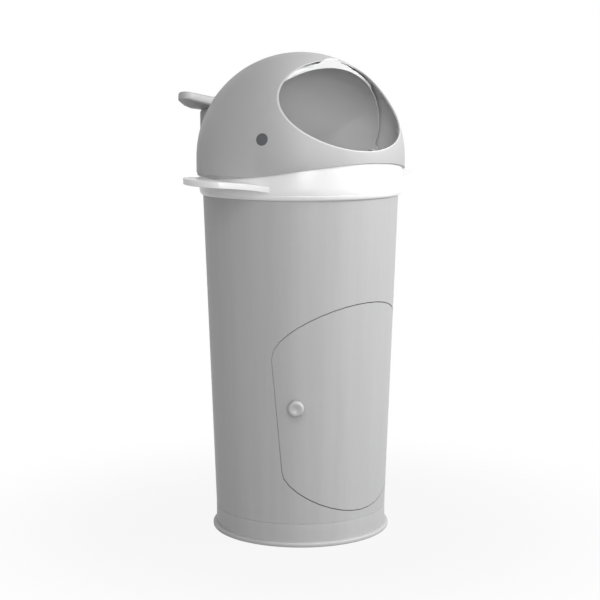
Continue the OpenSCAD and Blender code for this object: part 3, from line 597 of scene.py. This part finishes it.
def geometry_tree(name: str, inputs: Inputs) -> tuple[Tree, dict]:
    """Starts a Geometry Nodes tree with named inputs.

    Args:
        name: the tree's name.
        inputs: socket type and default value by input name, apart from Geometry and Finish.

    Returns:
        The tree and its input sockets by name.
    """
    group = bpy.data.node_groups.new(name, "GeometryNodeTree")
    group.interface.new_socket(name="Geometry", in_out="OUTPUT", socket_type="NodeSocketGeometry")
    name_inputs(group, {"Geometry": ("NodeSocketGeometry", None)} | inputs
                | {"Finish": ("NodeSocketMaterial", None)})
    t = Tree(group)
    return t, {s.name: s for s in t.add("NodeGroupInput").outputs if s.name}


def finished(t: Tree, i: dict, shape: NodeSocket) -> NodeTree:
    """Ends a Geometry Nodes tree: makes the shape real and gives it its material."""
    real = t.add("GeometryNodeRealizeInstances", {"Geometry": shape})
    done = t.add("GeometryNodeSetMaterial", {"Geometry": real.outputs[0], "Material": i["Finish"]})
    t.add("NodeGroupOutput", {0: done.outputs[0]})
    return t.tree


@cache
def fastener_tree(head: Head) -> NodeTree:
    """Builds the tree that sets fasteners on points, turned to each point's facing.

    Args:
        head: the kind of head.

    Returns:
        The tree.
    """
    t, i = geometry_tree(f"fasteners_{head.value}", {
        **{size: (FLOAT, MM) for size in SIZES}, "Seed": (WHOLE, 0)})

    def moved(shape: NodeSocket, **change: object) -> NodeSocket:
        """Shifts or scales a shape."""
        return t.add("GeometryNodeTransform", {"Geometry": shape, **change}).outputs[0]

    def along(size: str, share: float) -> NodeSocket:
        """Gives a shift along the axis by a share of one of the sizes."""
        return t.vector(z=t.math("MULTIPLY", i[size], share))

    def button(end: str, **change: object) -> NodeSocket:
        """Makes a flattened ball with the radius and height of the head or the back."""
        ball = t.add("GeometryNodeMeshUVSphere", {"Segments": 32, "Rings": 16, "Radius": 1.0})
        r = i[f"{end} Radius"]
        return moved(ball.outputs["Mesh"], Scale=t.vector(r, r, i[f"{end} Height"]), **change)

    if head is Head.SUNK:
        cone = t.add("GeometryNodeMeshCone", {
            "Vertices": 32, "Radius Top": i["Head Radius"], "Radius Bottom": i["Shank Radius"],
            "Depth": i["Head Height"]})
        top = moved(cone.outputs["Mesh"], Translation=along("Head Height", -1.0))
    else:
        top = button("Head")
    if head is not Head.RIVET:
        where = along("Head Height", 0.0 if head is Head.SUNK else 1.0)
        span = t.math("MULTIPLY", i["Head Radius"], RECESS_SPAN)
        slot = t.math("MULTIPLY", i["Head Radius"], RECESS_SLOT)
        deep = t.math("MULTIPLY", i["Head Height"], RECESS_DEPTH)
        for x, y in ((span, slot), (slot, span)):
            bar = t.add("GeometryNodeMeshCube", {"Size": t.vector(x, y, deep)}).outputs["Mesh"]
            cut = t.add("GeometryNodeMeshBoolean", operation="DIFFERENCE", solver="EXACT")
            t.put(cut.inputs["Mesh 1"], top)
            t.put(cut.inputs["Mesh 2"], moved(bar, Translation=where))
            top = cut.outputs["Mesh"]
    shank = t.add("GeometryNodeMeshCylinder", {
        "Vertices": 24, "Radius": i["Shank Radius"], "Depth": i["Shank Length"]})
    parts = [top, moved(shank.outputs["Mesh"], Translation=along("Shank Length", -0.5))]
    if head is Head.RIVET:
        parts.append(button("Back", Translation=along("Shank Length", -1.0)))
    join = t.add("GeometryNodeJoinGeometry")
    for part in parts:
        t.put(join.inputs[0], part)
    facing = t.add("GeometryNodeInputNamedAttribute", {"Name": "facing"},
                   data_type="FLOAT_VECTOR").outputs["Attribute"]
    turn = t.add("FunctionNodeAlignRotationToVector", {"Vector": facing}, axis="Z")
    spin = t.add("FunctionNodeRandomValue", data_type="FLOAT")
    low, high = [s for s in spin.inputs if s.type == "VALUE" and s.enabled][:2]
    low.default_value, high.default_value = 0.0, math.tau
    t.put(spin.inputs["Seed"], i["Seed"])
    angle = [s for s in spin.outputs if s.enabled][0]
    about = t.add("FunctionNodeEulerToRotation", {0: t.vector(z=angle)})
    spun = t.add("FunctionNodeRotateRotation", {
        "Rotation": turn.outputs[0], "Rotate By": about.outputs[0]}, rotation_space="LOCAL")
    placed = t.add("GeometryNodeInstanceOnPoints", {
        "Points": i["Geometry"], "Instance": join.outputs[0], "Rotation": spun.outputs[0]})
    return finished(t, i, placed.outputs[0])


@cache
def revolve_tree() -> NodeTree:
    """Builds the tree that turns a section, drawn as radius and height, about the bin's axis."""
    t, i = geometry_tree("revolved_band", {"Segments": (WHOLE, 192), "Path Radius": (FLOAT, 0.1)})
    section = t.add("GeometryNodeMeshToCurve", {"Mesh": i["Geometry"]}).outputs[0]
    path = t.add("GeometryNodeCurvePrimitiveCircle", {
        "Resolution": i["Segments"], "Radius": i["Path Radius"]})
    level = t.add("GeometryNodeSetCurveNormal", {"Curve": path.outputs[0]}, mode="Z_UP")
    band = t.add("GeometryNodeCurveToMesh", {
        "Curve": level.outputs[0], "Profile Curve": section, "Fill Caps": False})
    return finished(t, i, band.outputs[0])


# Kinds of piece ------------------------


@dataclass
class Piece:
    """A finished piece on one body, which stands for one CAD node."""

    name: str
    body: str
    node: str
    coat: Coat

    def shape(self) -> Object:
        """Makes the piece's object, at the origin with its place in its mesh."""
        raise NotImplementedError

    def build(self) -> None:
        """Shapes the piece, gives it its finish and its body, and hides the CAD node that it stands
        for.
        """
        obj = self.shape()
        obj.data.materials.clear()
        obj.data.materials.append(self.coat.value.material())
        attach(obj, self.body)
        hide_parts(self.node)
        LOG.info("%s: %s, %d faces", obj.name, self.coat.value.name, len(obj.data.polygons))


@dataclass
class Solid(Piece):
    """A piece copied from its CAD node, with its sharp edges rounded.

    Args:
        bevel: width of the rounded edges in millimetres, or 0 for none.
        segments: facets across a rounded edge.
        crease: angle in degrees past which an edge counts as sharp.
        facing: the true surface that its faces may follow.
        reach: how far a face may be turned from that surface, in degrees.
        first: shapes the joined mesh before its other edges are rounded.
    """

    bevel: float = 0.0
    segments: int = 2
    crease: float = CREASE
    facing: Facing | None = None
    reach: float = REACH
    first: Callable[[BMesh], None] | None = None

    def shape(self) -> Object:
        """Joins the copy's loose triangles and rounds its edges."""
        mesh = bpy.data.meshes.new(self.name)
        bm = bmesh.new()
        bm.from_mesh(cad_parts[self.node].data)
        bmesh.ops.remove_doubles(bm, verts=bm.verts, dist=CAD_JOIN)
        bmesh.ops.dissolve_limit(bm, angle_limit=math.radians(ONE_FACE), verts=bm.verts,
                                 edges=bm.edges)
        if self.first:
            self.first(bm)
        if self.bevel:
            sharp = math.radians(self.crease)
            round_edges(bm, [e for e in bm.edges if e.is_manifold and e.calc_face_angle() > sharp],
                        self.bevel, self.segments)
        bmesh.ops.triangulate(bm, faces=[f for f in bm.faces if len(f.verts) > 4])
        bm.to_mesh(mesh)
        bm.free()
        shade(mesh, self.crease, self.facing, self.reach)
        return new_object(self.name, mesh)


class Grown(Piece):
    """A piece that Geometry Nodes make."""

    def grow(self, start: Mesh, tree: NodeTree, values: dict[str, object],
             crease: float = CREASE) -> Object:
        """Runs a Geometry Nodes tree on a mesh and keeps the result as a plain object.

        Args:
            start: the mesh that the tree starts from.
            tree: the tree.
            values: the tree's inputs by name, apart from Finish.
            crease: angle in degrees past which an edge stays sharp.

        Returns:
            The object.
        """
        seed = new_object(f"{self.name}_seed", start)
        modifier = seed.modifiers.new("grow", "NODES")
        modifier.node_group = tree
        keys = {s.name: s.identifier for s in tree.interface.items_tree
                if s.item_type == "SOCKET" and s.in_out == "INPUT"}
        for key, value in (values | {"Finish": self.coat.value.material()}).items():
            modifier[keys[key]] = value
        bpy.context.view_layer.update()
        ready = seed.evaluated_get(bpy.context.evaluated_depsgraph_get())
        mesh = bpy.data.meshes.new_from_object(ready)
        mesh.name = self.name
        seed.modifiers.remove(modifier)
        bpy.data.objects.remove(seed)
        bm = bmesh.new()
        bm.from_mesh(mesh)
        bmesh.ops.remove_doubles(bm, verts=bm.verts, dist=GROWN_JOIN)
        bmesh.ops.recalc_face_normals(bm, faces=bm.faces)
        bm.to_mesh(mesh)
        bm.free()
        shade(mesh, crease)
        return new_object(self.name, mesh)


@dataclass
class Band(Grown):
    """A ring on the bin's axis, turned from one section.

    Each corner of the section is a radius, a height and a rounding, in millimetres.
    """

    corners: Sequence[Triple]
    segments: int = 240
    steps: int = 5
    crease: float = 40.0

    def section(self) -> list[tuple[float, float]]:
        """Gives the section's points, with its corners rounded."""
        points = []
        for k, (r, z, rounding) in enumerate(self.corners):
            here = Vector((r, z))
            back = Vector(self.corners[k - 1][:2]) - here
            ahead = Vector(self.corners[(k + 1) % len(self.corners)][:2]) - here
            if not rounding:
                points.append((r, z))
                continue
            run = rounding / math.tan(back.angle(ahead) / 2)
            start, end = here + back.normalized() * run, here + ahead.normalized() * run
            for step in range(self.steps + 1):
                u = step / self.steps
                point = start * (1 - u) ** 2 + here * 2 * u * (1 - u) + end * u ** 2
                points.append((point.x, point.y))
        return points

    def shape(self) -> Object:
        """Turns the section about the axis."""
        section = self.section()
        n = len(section)
        path_r = sum(r for r, _ in section) / n
        mesh = bpy.data.meshes.new(self.name)
        mesh.from_pydata([((r - path_r) * MM, -z * MM, 0.0) for r, z in section],
                         [(k, (k + 1) % n) for k in range(n)], [])
        return self.grow(mesh, revolve_tree(), {
            "Segments": self.segments, "Path Radius": path_r * MM}, self.crease)


@dataclass
class Fasteners(Grown):
    """A set of like fasteners, with their sizes in millimetres."""

    seats: Sequence[Seat]
    head: Head
    head_r: float
    head_h: float
    shank_r: float
    shank_len: float
    back_r: float = 0.0
    back_h: float = 0.0
    seed: int = 7

    def shape(self) -> Object:
        """Sets the fasteners on points that each carry the direction that they face."""
        mesh = bpy.data.meshes.new(self.name)
        mesh.from_pydata([tuple(point) for point, _ in self.seats], [], [])
        facing = mesh.attributes.new("facing", "FLOAT_VECTOR", "POINT")
        for item, (_, out) in zip(facing.data, self.seats):
            item.vector = out
        sizes = (self.head_r, self.head_h, self.shank_r, self.shank_len, self.back_r, self.back_h)
        values = {key: size * MM for key, size in zip(SIZES, sizes)}
        return self.grow(mesh, fastener_tree(self.head), values | {"Seed": self.seed})


# Sub-assemblies ------------------------


@dataclass
class Body:
    """The fixed steel body with its hem, plinth, foot, floor and door frame."""

    edge: float = 0.35
    hem: tuple[Triple, ...] = (
        (129.146, 458.0, 0.3), (130.646, 458.0, 0.3), (130.935, 466.0, 0.0),
        (132.235, 466.0, 0.2), (132.235, 467.5, 0.72), (129.435, 467.5, 0.72),
        (129.435, 464.5, 0.4))
    plinth: tuple[Triple, ...] = (
        (115.3, 6.0, 0.1), (116.62, 6.0, 0.1), (116.62, 30.7, 0.3), (115.3, 30.7, 0.1))
    foot: tuple[Triple, ...] = (
        (110.4, 0.0, 0.6), (121.3, 0.0, 2.4), (121.3, 6.0, 2.6), (115.2, 6.0, 0.3),
        (115.2, 18.0, 0.6), (112.8, 18.0, 0.6), (112.8, 6.0, 0.5), (110.4, 6.0, 0.6))

    def build(self) -> None:
        """Builds every piece of the body."""
        Solid("wall", "bin", "body_shell", Coat.GREY_STEEL, self.edge,
              facing=Facing.WALL).build()
        Solid("stop_frame", "bin", "door_frame", Coat.FRAME_PAINTED_SHADE, facing=Facing.WALL).build()
        Band("rolled_hem", "bin", "top_rim", Coat.ROLLED_STEEL, self.hem).build()
        Band("plinth", "bin", "plinth_band", Coat.GREY_STEEL, self.plinth).build()
        Band("foot_flange", "bin", "foot_ring", Coat.GREY_FOOT, self.foot).build()
        Solid("floor_pan", "bin", "floor_plate", Coat.GREY_STEEL, bevel=0.3,
              facing=Facing.ROUND, reach=TIGHT).build()


@dataclass
class Hinges:
    """The two door hinges: leaves, knuckles, pins and rivets."""

    levels: tuple[float, float] = (122.0, 230.0)
    length: float = 36.0
    leaf_w: float = 15.0
    leaf_t: float = 1.0
    notch_w: float = 3.2
    door_t: float = 0.9
    rows: tuple[float, ...] = (-0.3, 0.3)
    knee: tuple[float, float] = (98.3621, 102.0)
    shoulder: tuple[float, float] = (109.439, 253.0)

    def heading(self, z: float) -> float:
        """Angle of the hinge line round the wall at height z, in radians."""
        share = (z - self.knee[1]) / (self.shoulder[1] - self.knee[1])
        half = self.knee[0] + share * (self.shoulder[0] - self.knee[0])
        return math.radians(FORM.door_turn - 90) + math.asin(half / FORM.wall_r(z))

    def seats(self, side: int) -> list[Seat]:
        """Places of the rivets on one side of the hinge line."""
        found = []
        for level in self.levels:
            for row in self.rows:
                z = level + row * self.length
                turn = side * (self.notch_w + self.leaf_w / 2) / FORM.wall_r(z)
                found.append(FORM.on_wall(self.heading(z) + turn, z))
        return found

    def build(self) -> None:
        """Builds the hinges."""
        for stem, body, side, sheet in (("body", "bin", 1, FORM.sheet_t),
                                        ("door", "door", -1, self.door_t)):
            Solid(f"{stem}_leaves", body, f"{stem}_hinge_leaves", Coat.ZINC_STEEL, bevel=0.15,
                  facing=Facing.WALL).build()
            Fasteners(f"{stem}_rivets", body, f"{stem}_hinge_rivets", Coat.ZINC_STEEL,
                      self.seats(side), Head.RIVET, head_r=2.8, head_h=0.9, shank_r=1.4,
                      shank_len=sheet + self.leaf_t + 3 * FORM.seat, back_r=2.7, back_h=0.85,
                      seed=3 + side).build()
        Solid("pins_of_hinges", "bin", "hinge_pins", Coat.ZINC_STEEL, bevel=0.25).build()


@dataclass
class Catch:
    """The magnet catch behind the door's free edge."""

    screw_feet: tuple[Triple, ...] = ((-94.17, -70.58, 179.95), (-94.84, -71.08, 200.35))
    screw_way: Triple = (-0.7997, -0.5993, -0.0361)

    def build(self) -> None:
        """Builds the catch."""
        for node, coat, bevel in (("magnet_catch", Coat.WHITE_PLASTIC, 0.4),
                                  ("catch_magnet", Coat.MAGNET_BLACK, 0.3)):
            Solid(f"{node}_piece", "bin", node, coat, bevel, facing=Facing.WALL,
                  reach=TIGHT).build()
        seats = [(Vector(foot) * MM, -Vector(self.screw_way)) for foot in self.screw_feet]
        Fasteners("catch_screw_pair", "bin", "catch_screws", Coat.ZINC_STEEL, seats, Head.CROSS,
                  head_r=2.4, head_h=1.2, shank_r=1.15, shank_len=2.79, seed=5).build()


@dataclass
class Door:
    """The curved door with its knob and strike plate.

    The last two sizes tell the knob's face from its other facets: how near its direction is to
    the screw's, as a cosine, and how near it lies to the foremost one, in millimetres.
    """

    edge: float = 0.3
    screw_foot: Triple = (-81.05, -88.7, 190.08)
    screw_way: Triple = (-0.6741, -0.7378, -0.0361)
    dish_rim: float = 2.6
    dish_slope: float = 0.8
    dish_depth: float = 0.5
    square: float = 0.999
    level: float = 0.05

    def dish_face(self, bm: BMesh) -> None:
        """Sinks the middle of the knob's face a little, inside a flat rim."""
        out = Vector(self.screw_way)
        flat = [face for face in bm.faces if face.normal.dot(out) > self.square]
        top = max(face.calc_center_median().dot(out) for face in flat)
        front = [face for face in flat
                 if face.calc_center_median().dot(out) > top - self.level * MM]
        for width, depth in ((self.dish_rim, 0.0), (self.dish_slope, -self.dish_depth)):
            bmesh.ops.inset_region(bm, faces=front, thickness=width * MM, depth=depth * MM,
                                   use_even_offset=True)

    def build(self) -> None:
        """Builds the door."""
        Solid("panel", "door", "door_panel", Coat.GREY_STEEL, self.edge,
              facing=Facing.WALL).build()
        Solid("knob_piece", "door", "knob", Coat.GREY_KNOB, crease=50.0,
              first=self.dish_face).build()
        for node in ("knob_washer", "strike_plate"):
            Solid(f"{node}_piece", "door", node, Coat.ZINC_STEEL, bevel=0.15).build()
        seats = [(Vector(self.screw_foot) * MM, -Vector(self.screw_way))]
        Fasteners("knob_bolt", "door", "knob_screw", Coat.ZINC_STEEL, seats, Head.CROSS,
                  head_r=4.0, head_h=2.6, shank_r=1.95, shank_len=11.1, seed=2).build()


@dataclass
class WhaleHead:
    """The lift-off head: collar, seal, dome, eyes, pivot pins, screws and flippers.

    Each screw is a turn from the front in degrees, a radius and a height. The last three sizes
    say which edges of the dome are the mouth's: a share of the ellipse, a distance in
    millimetres and an angle in radians.
    """

    edge: float = 0.5
    flipper_edge: float = 2.2
    lip_out: float = 1.7
    lip_in: float = 0.7
    lip_segments: int = 5
    seal: tuple[Triple, ...] = (
        (129.949, 467.8, 0.7), (132.635, 467.8, 0.7), (132.635, 470.2, 0.7),
        (129.949, 470.2, 0.7))
    screws: tuple[Triple, ...] = ((35.0, 134.24, 501.23), (105.0, 133.87, 487.85),
                                  (165.0, 133.87, 487.85))
    on_cut: float = 0.006
    on_ball: float = 0.15
    lip_angle: float = 0.4

    def on_mouth(self, co: Vector) -> bool:
        """Tells whether a point of the dome lies on the wall of the mouth's cut."""
        tilt = math.radians(MOUTH.tilt)
        middle, half, wide = MOUTH.ellipse()
        x, y, z = co.x / MM, co.y / MM, co.z / MM - FORM.pivot_z
        up = z * math.cos(tilt) + y * math.sin(tilt)
        ahead = z * math.sin(tilt) - y * math.cos(tilt)
        return ahead > 0 and abs(math.hypot(x / wide, (up - middle) / half) - 1) < self.on_cut

    def round_lip(self, bm: BMesh) -> None:
        """Rounds the mouth's lip, more on its outer face."""
        centre = Vector((0, 0, FORM.pivot_z * MM))
        for width, r in ((self.lip_out, FORM.dome_r), (self.lip_in, FORM.inner_r)):
            ring = [e for e in bm.edges if e.is_manifold and e.calc_face_angle() > self.lip_angle
                    and all(self.on_mouth(v.co)
                            and abs((v.co - centre).length / MM - r) < self.on_ball
                            for v in e.verts)]
            round_edges(bm, ring, width, self.lip_segments)

    def build(self) -> None:
        """Builds the head."""
        Solid("collar_ring", "head", "collar", Coat.WHITE_PLASTIC, bevel=0.3).build()
        Band("seal", "head", "seal_ring", Coat.SOFT_SEAL, self.seal).build()
        Solid("domed_shell", "head", "dome", Coat.GREY_DOME, self.edge, facing=Facing.BALL,
              reach=4.0, first=self.round_lip).build()
        for side in ("left", "right"):
            Solid(f"{side}_eye_button", "head", f"{side}_eye", Coat.DARK_PLASTIC, bevel=0.3,
                  facing=Facing.BALL).build()
        Solid("pins_of_shell", "head", "pivot_pins", Coat.ZINC_STEEL, bevel=0.2).build()
        seats = []
        for turn, r, z in self.screws:
            for side in (-1, 1):
                a = math.radians(turn)
                out = Vector((side * math.sin(a), -math.cos(a), 0))
                seats.append(((out * r + Vector((0, 0, z))) * MM, -out))
        Fasteners("neck_screws", "head", "dome_screws", Coat.ZINC_STEEL, seats, Head.SUNK,
                  head_r=2.35, head_h=1.2, shank_r=1.15, shank_len=5.05, seed=11).build()
        for side in ("left", "right"):
            Solid(f"{side}_flipper_blade", "head", f"{side}_flipper", Coat.WHITE_PLASTIC,
                  self.flipper_edge, segments=4).build()


@dataclass
class Shutter:
    """The turning shell with its pull, bushes, tail and the tail's screws."""

    edge: float = 0.4
    pull_edge: float = 0.6
    stem_edge: float = 2.0
    screw_turns: tuple[float, ...] = (6.0, 10.1, 14.2)

    def build(self) -> None:
        """Builds the shutter."""
        Solid("turning_shell", "shutter", "shutter_shell", Coat.GREY_SHELL, self.edge,
              facing=Facing.BALL).build()
        Solid("finger_pull", "shutter", "shutter_pull", Coat.WHITE_PLASTIC, self.pull_edge,
              segments=3, facing=Facing.RIM, reach=TIGHT).build()
        Solid("bushes", "shutter", "pivot_bushes", Coat.WHITE_PLASTIC, bevel=0.2).build()
        Solid("stem", "shutter", "tail_stem", Coat.GREY_PLASTIC, self.stem_edge, segments=4,
              facing=Facing.SIDE, reach=TIGHT).build()
        Solid("fluke", "shutter", "tail_fluke", Coat.GREY_PLASTIC).build()
        r = FORM.shell_r - FORM.shell_t - FORM.seat
        seats = []
        for a in map(math.radians, self.screw_turns):
            out = Vector((0, math.cos(a), math.sin(a)))
            seats.append(((out * r + Vector((0, 0, FORM.pivot_z))) * MM, -out))
        Fasteners("tail_screw_set", "shutter", "tail_screws", Coat.ZINC_STEEL, seats, Head.CROSS,
                  head_r=3.2, head_h=1.6, shank_r=1.55, shank_len=14.0).build()


# Studio --------------------------------


@dataclass
class Studio:
    """The plain pale floor, the soft lamps, the white surroundings and the camera.

    Each lamp is a name, a place, a power in watts and a width in metres, and each spot a name, a
    place, what it looks at, a power and the width of its cone in degrees.
    """

    camera_at: Triple = (-1.361, -1.6335, 0.6185)
    camera_fall: float = 8.166
    camera_turn: float = -39.778
    lens: float = 94.18
    sensor: float = 36.0
    sees: tuple[float, float] = (0.05, 50.0)
    floor_r: float = 6.0
    floor_z: float = -0.0002
    floor_sides: int = 96
    floor_tone: float = 0.18
    fade: tuple[float, float] = (0.2, 0.6)
    white_share: float = 0.91
    fill: float = 0.38
    lamps_aim: Triple = (0.0, 0.0, 0.36)
    lamps: tuple[tuple[str, Triple, float, float], ...] = (
        ("key", (1.2, -1.3, 1.4), 42.0, 1.1),
        ("high_front", (-1.35, -1.6, 1.75), 12.0, 1.2),
        ("low_front", (-1.25, -1.85, 0.6), 15.0, 0.7),
    )
    spot_r: float = 0.05
    spots: tuple[tuple[str, Triple, Triple, float, float], ...] = (
        ("mouth_near", (-1.42, -1.66, 0.61), (0.045, -0.09, 0.56), 16.0, 5.4),
        ("mouth_side", (-0.6, -2.05, 0.68), (0.015, -0.08, 0.58), 31.0, 4.8),
        ("mouth_high", (-1.35, -1.6, 1.75), (0.01, -0.1, 0.575), 75.0, 4.0),
    )

    def build(self) -> None:
        """Sets up the studio."""
        self._floor()
        self._world()
        for name, place, power, size in self.lamps:
            self._lamp(name, "AREA", place, self.lamps_aim, power).size = size
        for name, place, aim, power, cone in self.spots:
            spot = self._lamp(name, "SPOT", place, aim, power)
            spot.shadow_soft_size = self.spot_r
            spot.spot_size, spot.spot_blend = math.radians(cone), 1.0
        self._camera()
        bpy.context.scene.view_settings.view_transform = "Standard"

    @staticmethod
    def _seen(t: Tree) -> NodeSocket:
        """Tells the camera's, glossy and transmission rays from those that light the scene."""
        path = t.add("ShaderNodeLightPath").outputs
        return t.math("MAXIMUM", path["Is Camera Ray"],
                      t.math("MAXIMUM", path["Is Glossy Ray"], path["Is Transmission Ray"]))

    def _floor(self) -> None:
        """Lays a round pale floor that keeps the shadow and fades to white further out."""
        mesh = bpy.data.meshes.new("floor")
        turns = [math.tau * k / self.floor_sides for k in range(self.floor_sides)]
        mesh.from_pydata([(self.floor_r * math.cos(a), self.floor_r * math.sin(a), self.floor_z)
                          for a in turns], [], [tuple(range(self.floor_sides))])
        floor = new_object("floor", mesh)
        mat = bpy.data.materials.new("pale_floor")
        t = cleared_tree(mat)
        place = t.add("ShaderNodeTexCoord").outputs["Object"]
        far = t.add("ShaderNodeVectorMath", {0: place}, operation="LENGTH").outputs["Value"]
        paint = t.add("ShaderNodeBsdfPrincipled", {
            "Base Color": (*grey(self.floor_tone, 0.0), 1.0),
            "Roughness": t.ramp(t.noise(place, scale=14.0), 0.3, 0.7, 0.7, 0.8)})
        white = t.add("ShaderNodeEmission", {"Color": WHITE, "Strength": 1.0})
        share = t.math("MULTIPLY", self._seen(t), t.ramp(far, *self.fade, self.white_share, 1.0))
        mix = t.add("ShaderNodeMixShader", {0: share, 1: paint.outputs[0], 2: white.outputs[0]})
        t.add("ShaderNodeOutputMaterial", {"Surface": mix.outputs[0]})
        mesh.materials.append(mat)

    def _world(self) -> None:
        """Surrounds the scene with a soft fill that the camera sees as white."""
        world = bpy.data.worlds.new("surroundings")
        bpy.context.scene.world = world
        t = cleared_tree(world)
        fill, white = (t.add("ShaderNodeBackground", {"Color": WHITE, "Strength": strength})
                       for strength in (self.fill, 1.0))
        mix = t.add("ShaderNodeMixShader", {
            0: self._seen(t), 1: fill.outputs[0], 2: white.outputs[0]})
        t.add("ShaderNodeOutputWorld", {"Surface": mix.outputs[0]})

    @staticmethod
    def _lamp(name: str, kind: str, place: Triple, aim: Triple, power: float) -> Light:
        """Hangs a lamp that looks from its place at its aim, and returns its data."""
        data = bpy.data.lights.new(name, kind)
        data.energy = power
        turn = (Vector(aim) - Vector(place)).to_track_quat("-Z", "Y")
        new_object(name, data).matrix_world = Matrix.LocRotScale(Vector(place), turn, None)
        return data

    def _camera(self) -> None:
        """Stands the camera where the photograph was taken from."""
        data = bpy.data.cameras.new("camera")
        data.lens, data.sensor_width = self.lens, self.sensor
        data.clip_start, data.clip_end = self.sees
        camera = new_object("camera", data)
        camera.location = self.camera_at
        camera.rotation_euler = (math.radians(90 - self.camera_fall), 0.0,
                                 math.radians(self.camera_turn))
        bpy.context.scene.camera = camera


def main() -> None:
    """Builds the pieces in order and the studio."""
    logging.basicConfig(level=logging.INFO, format="%(name)s: %(message)s")
    for part in (Body(), Hinges(), Catch(), Door(), WhaleHead(), Shutter(), Studio()):
        part.build()
    for tree in [g for g in bpy.data.node_groups if g.bl_idname == "GeometryNodeTree"]:
        bpy.data.node_groups.remove(tree)
    bpy.context.view_layer.update()


if __name__ == "__main__":
    main()
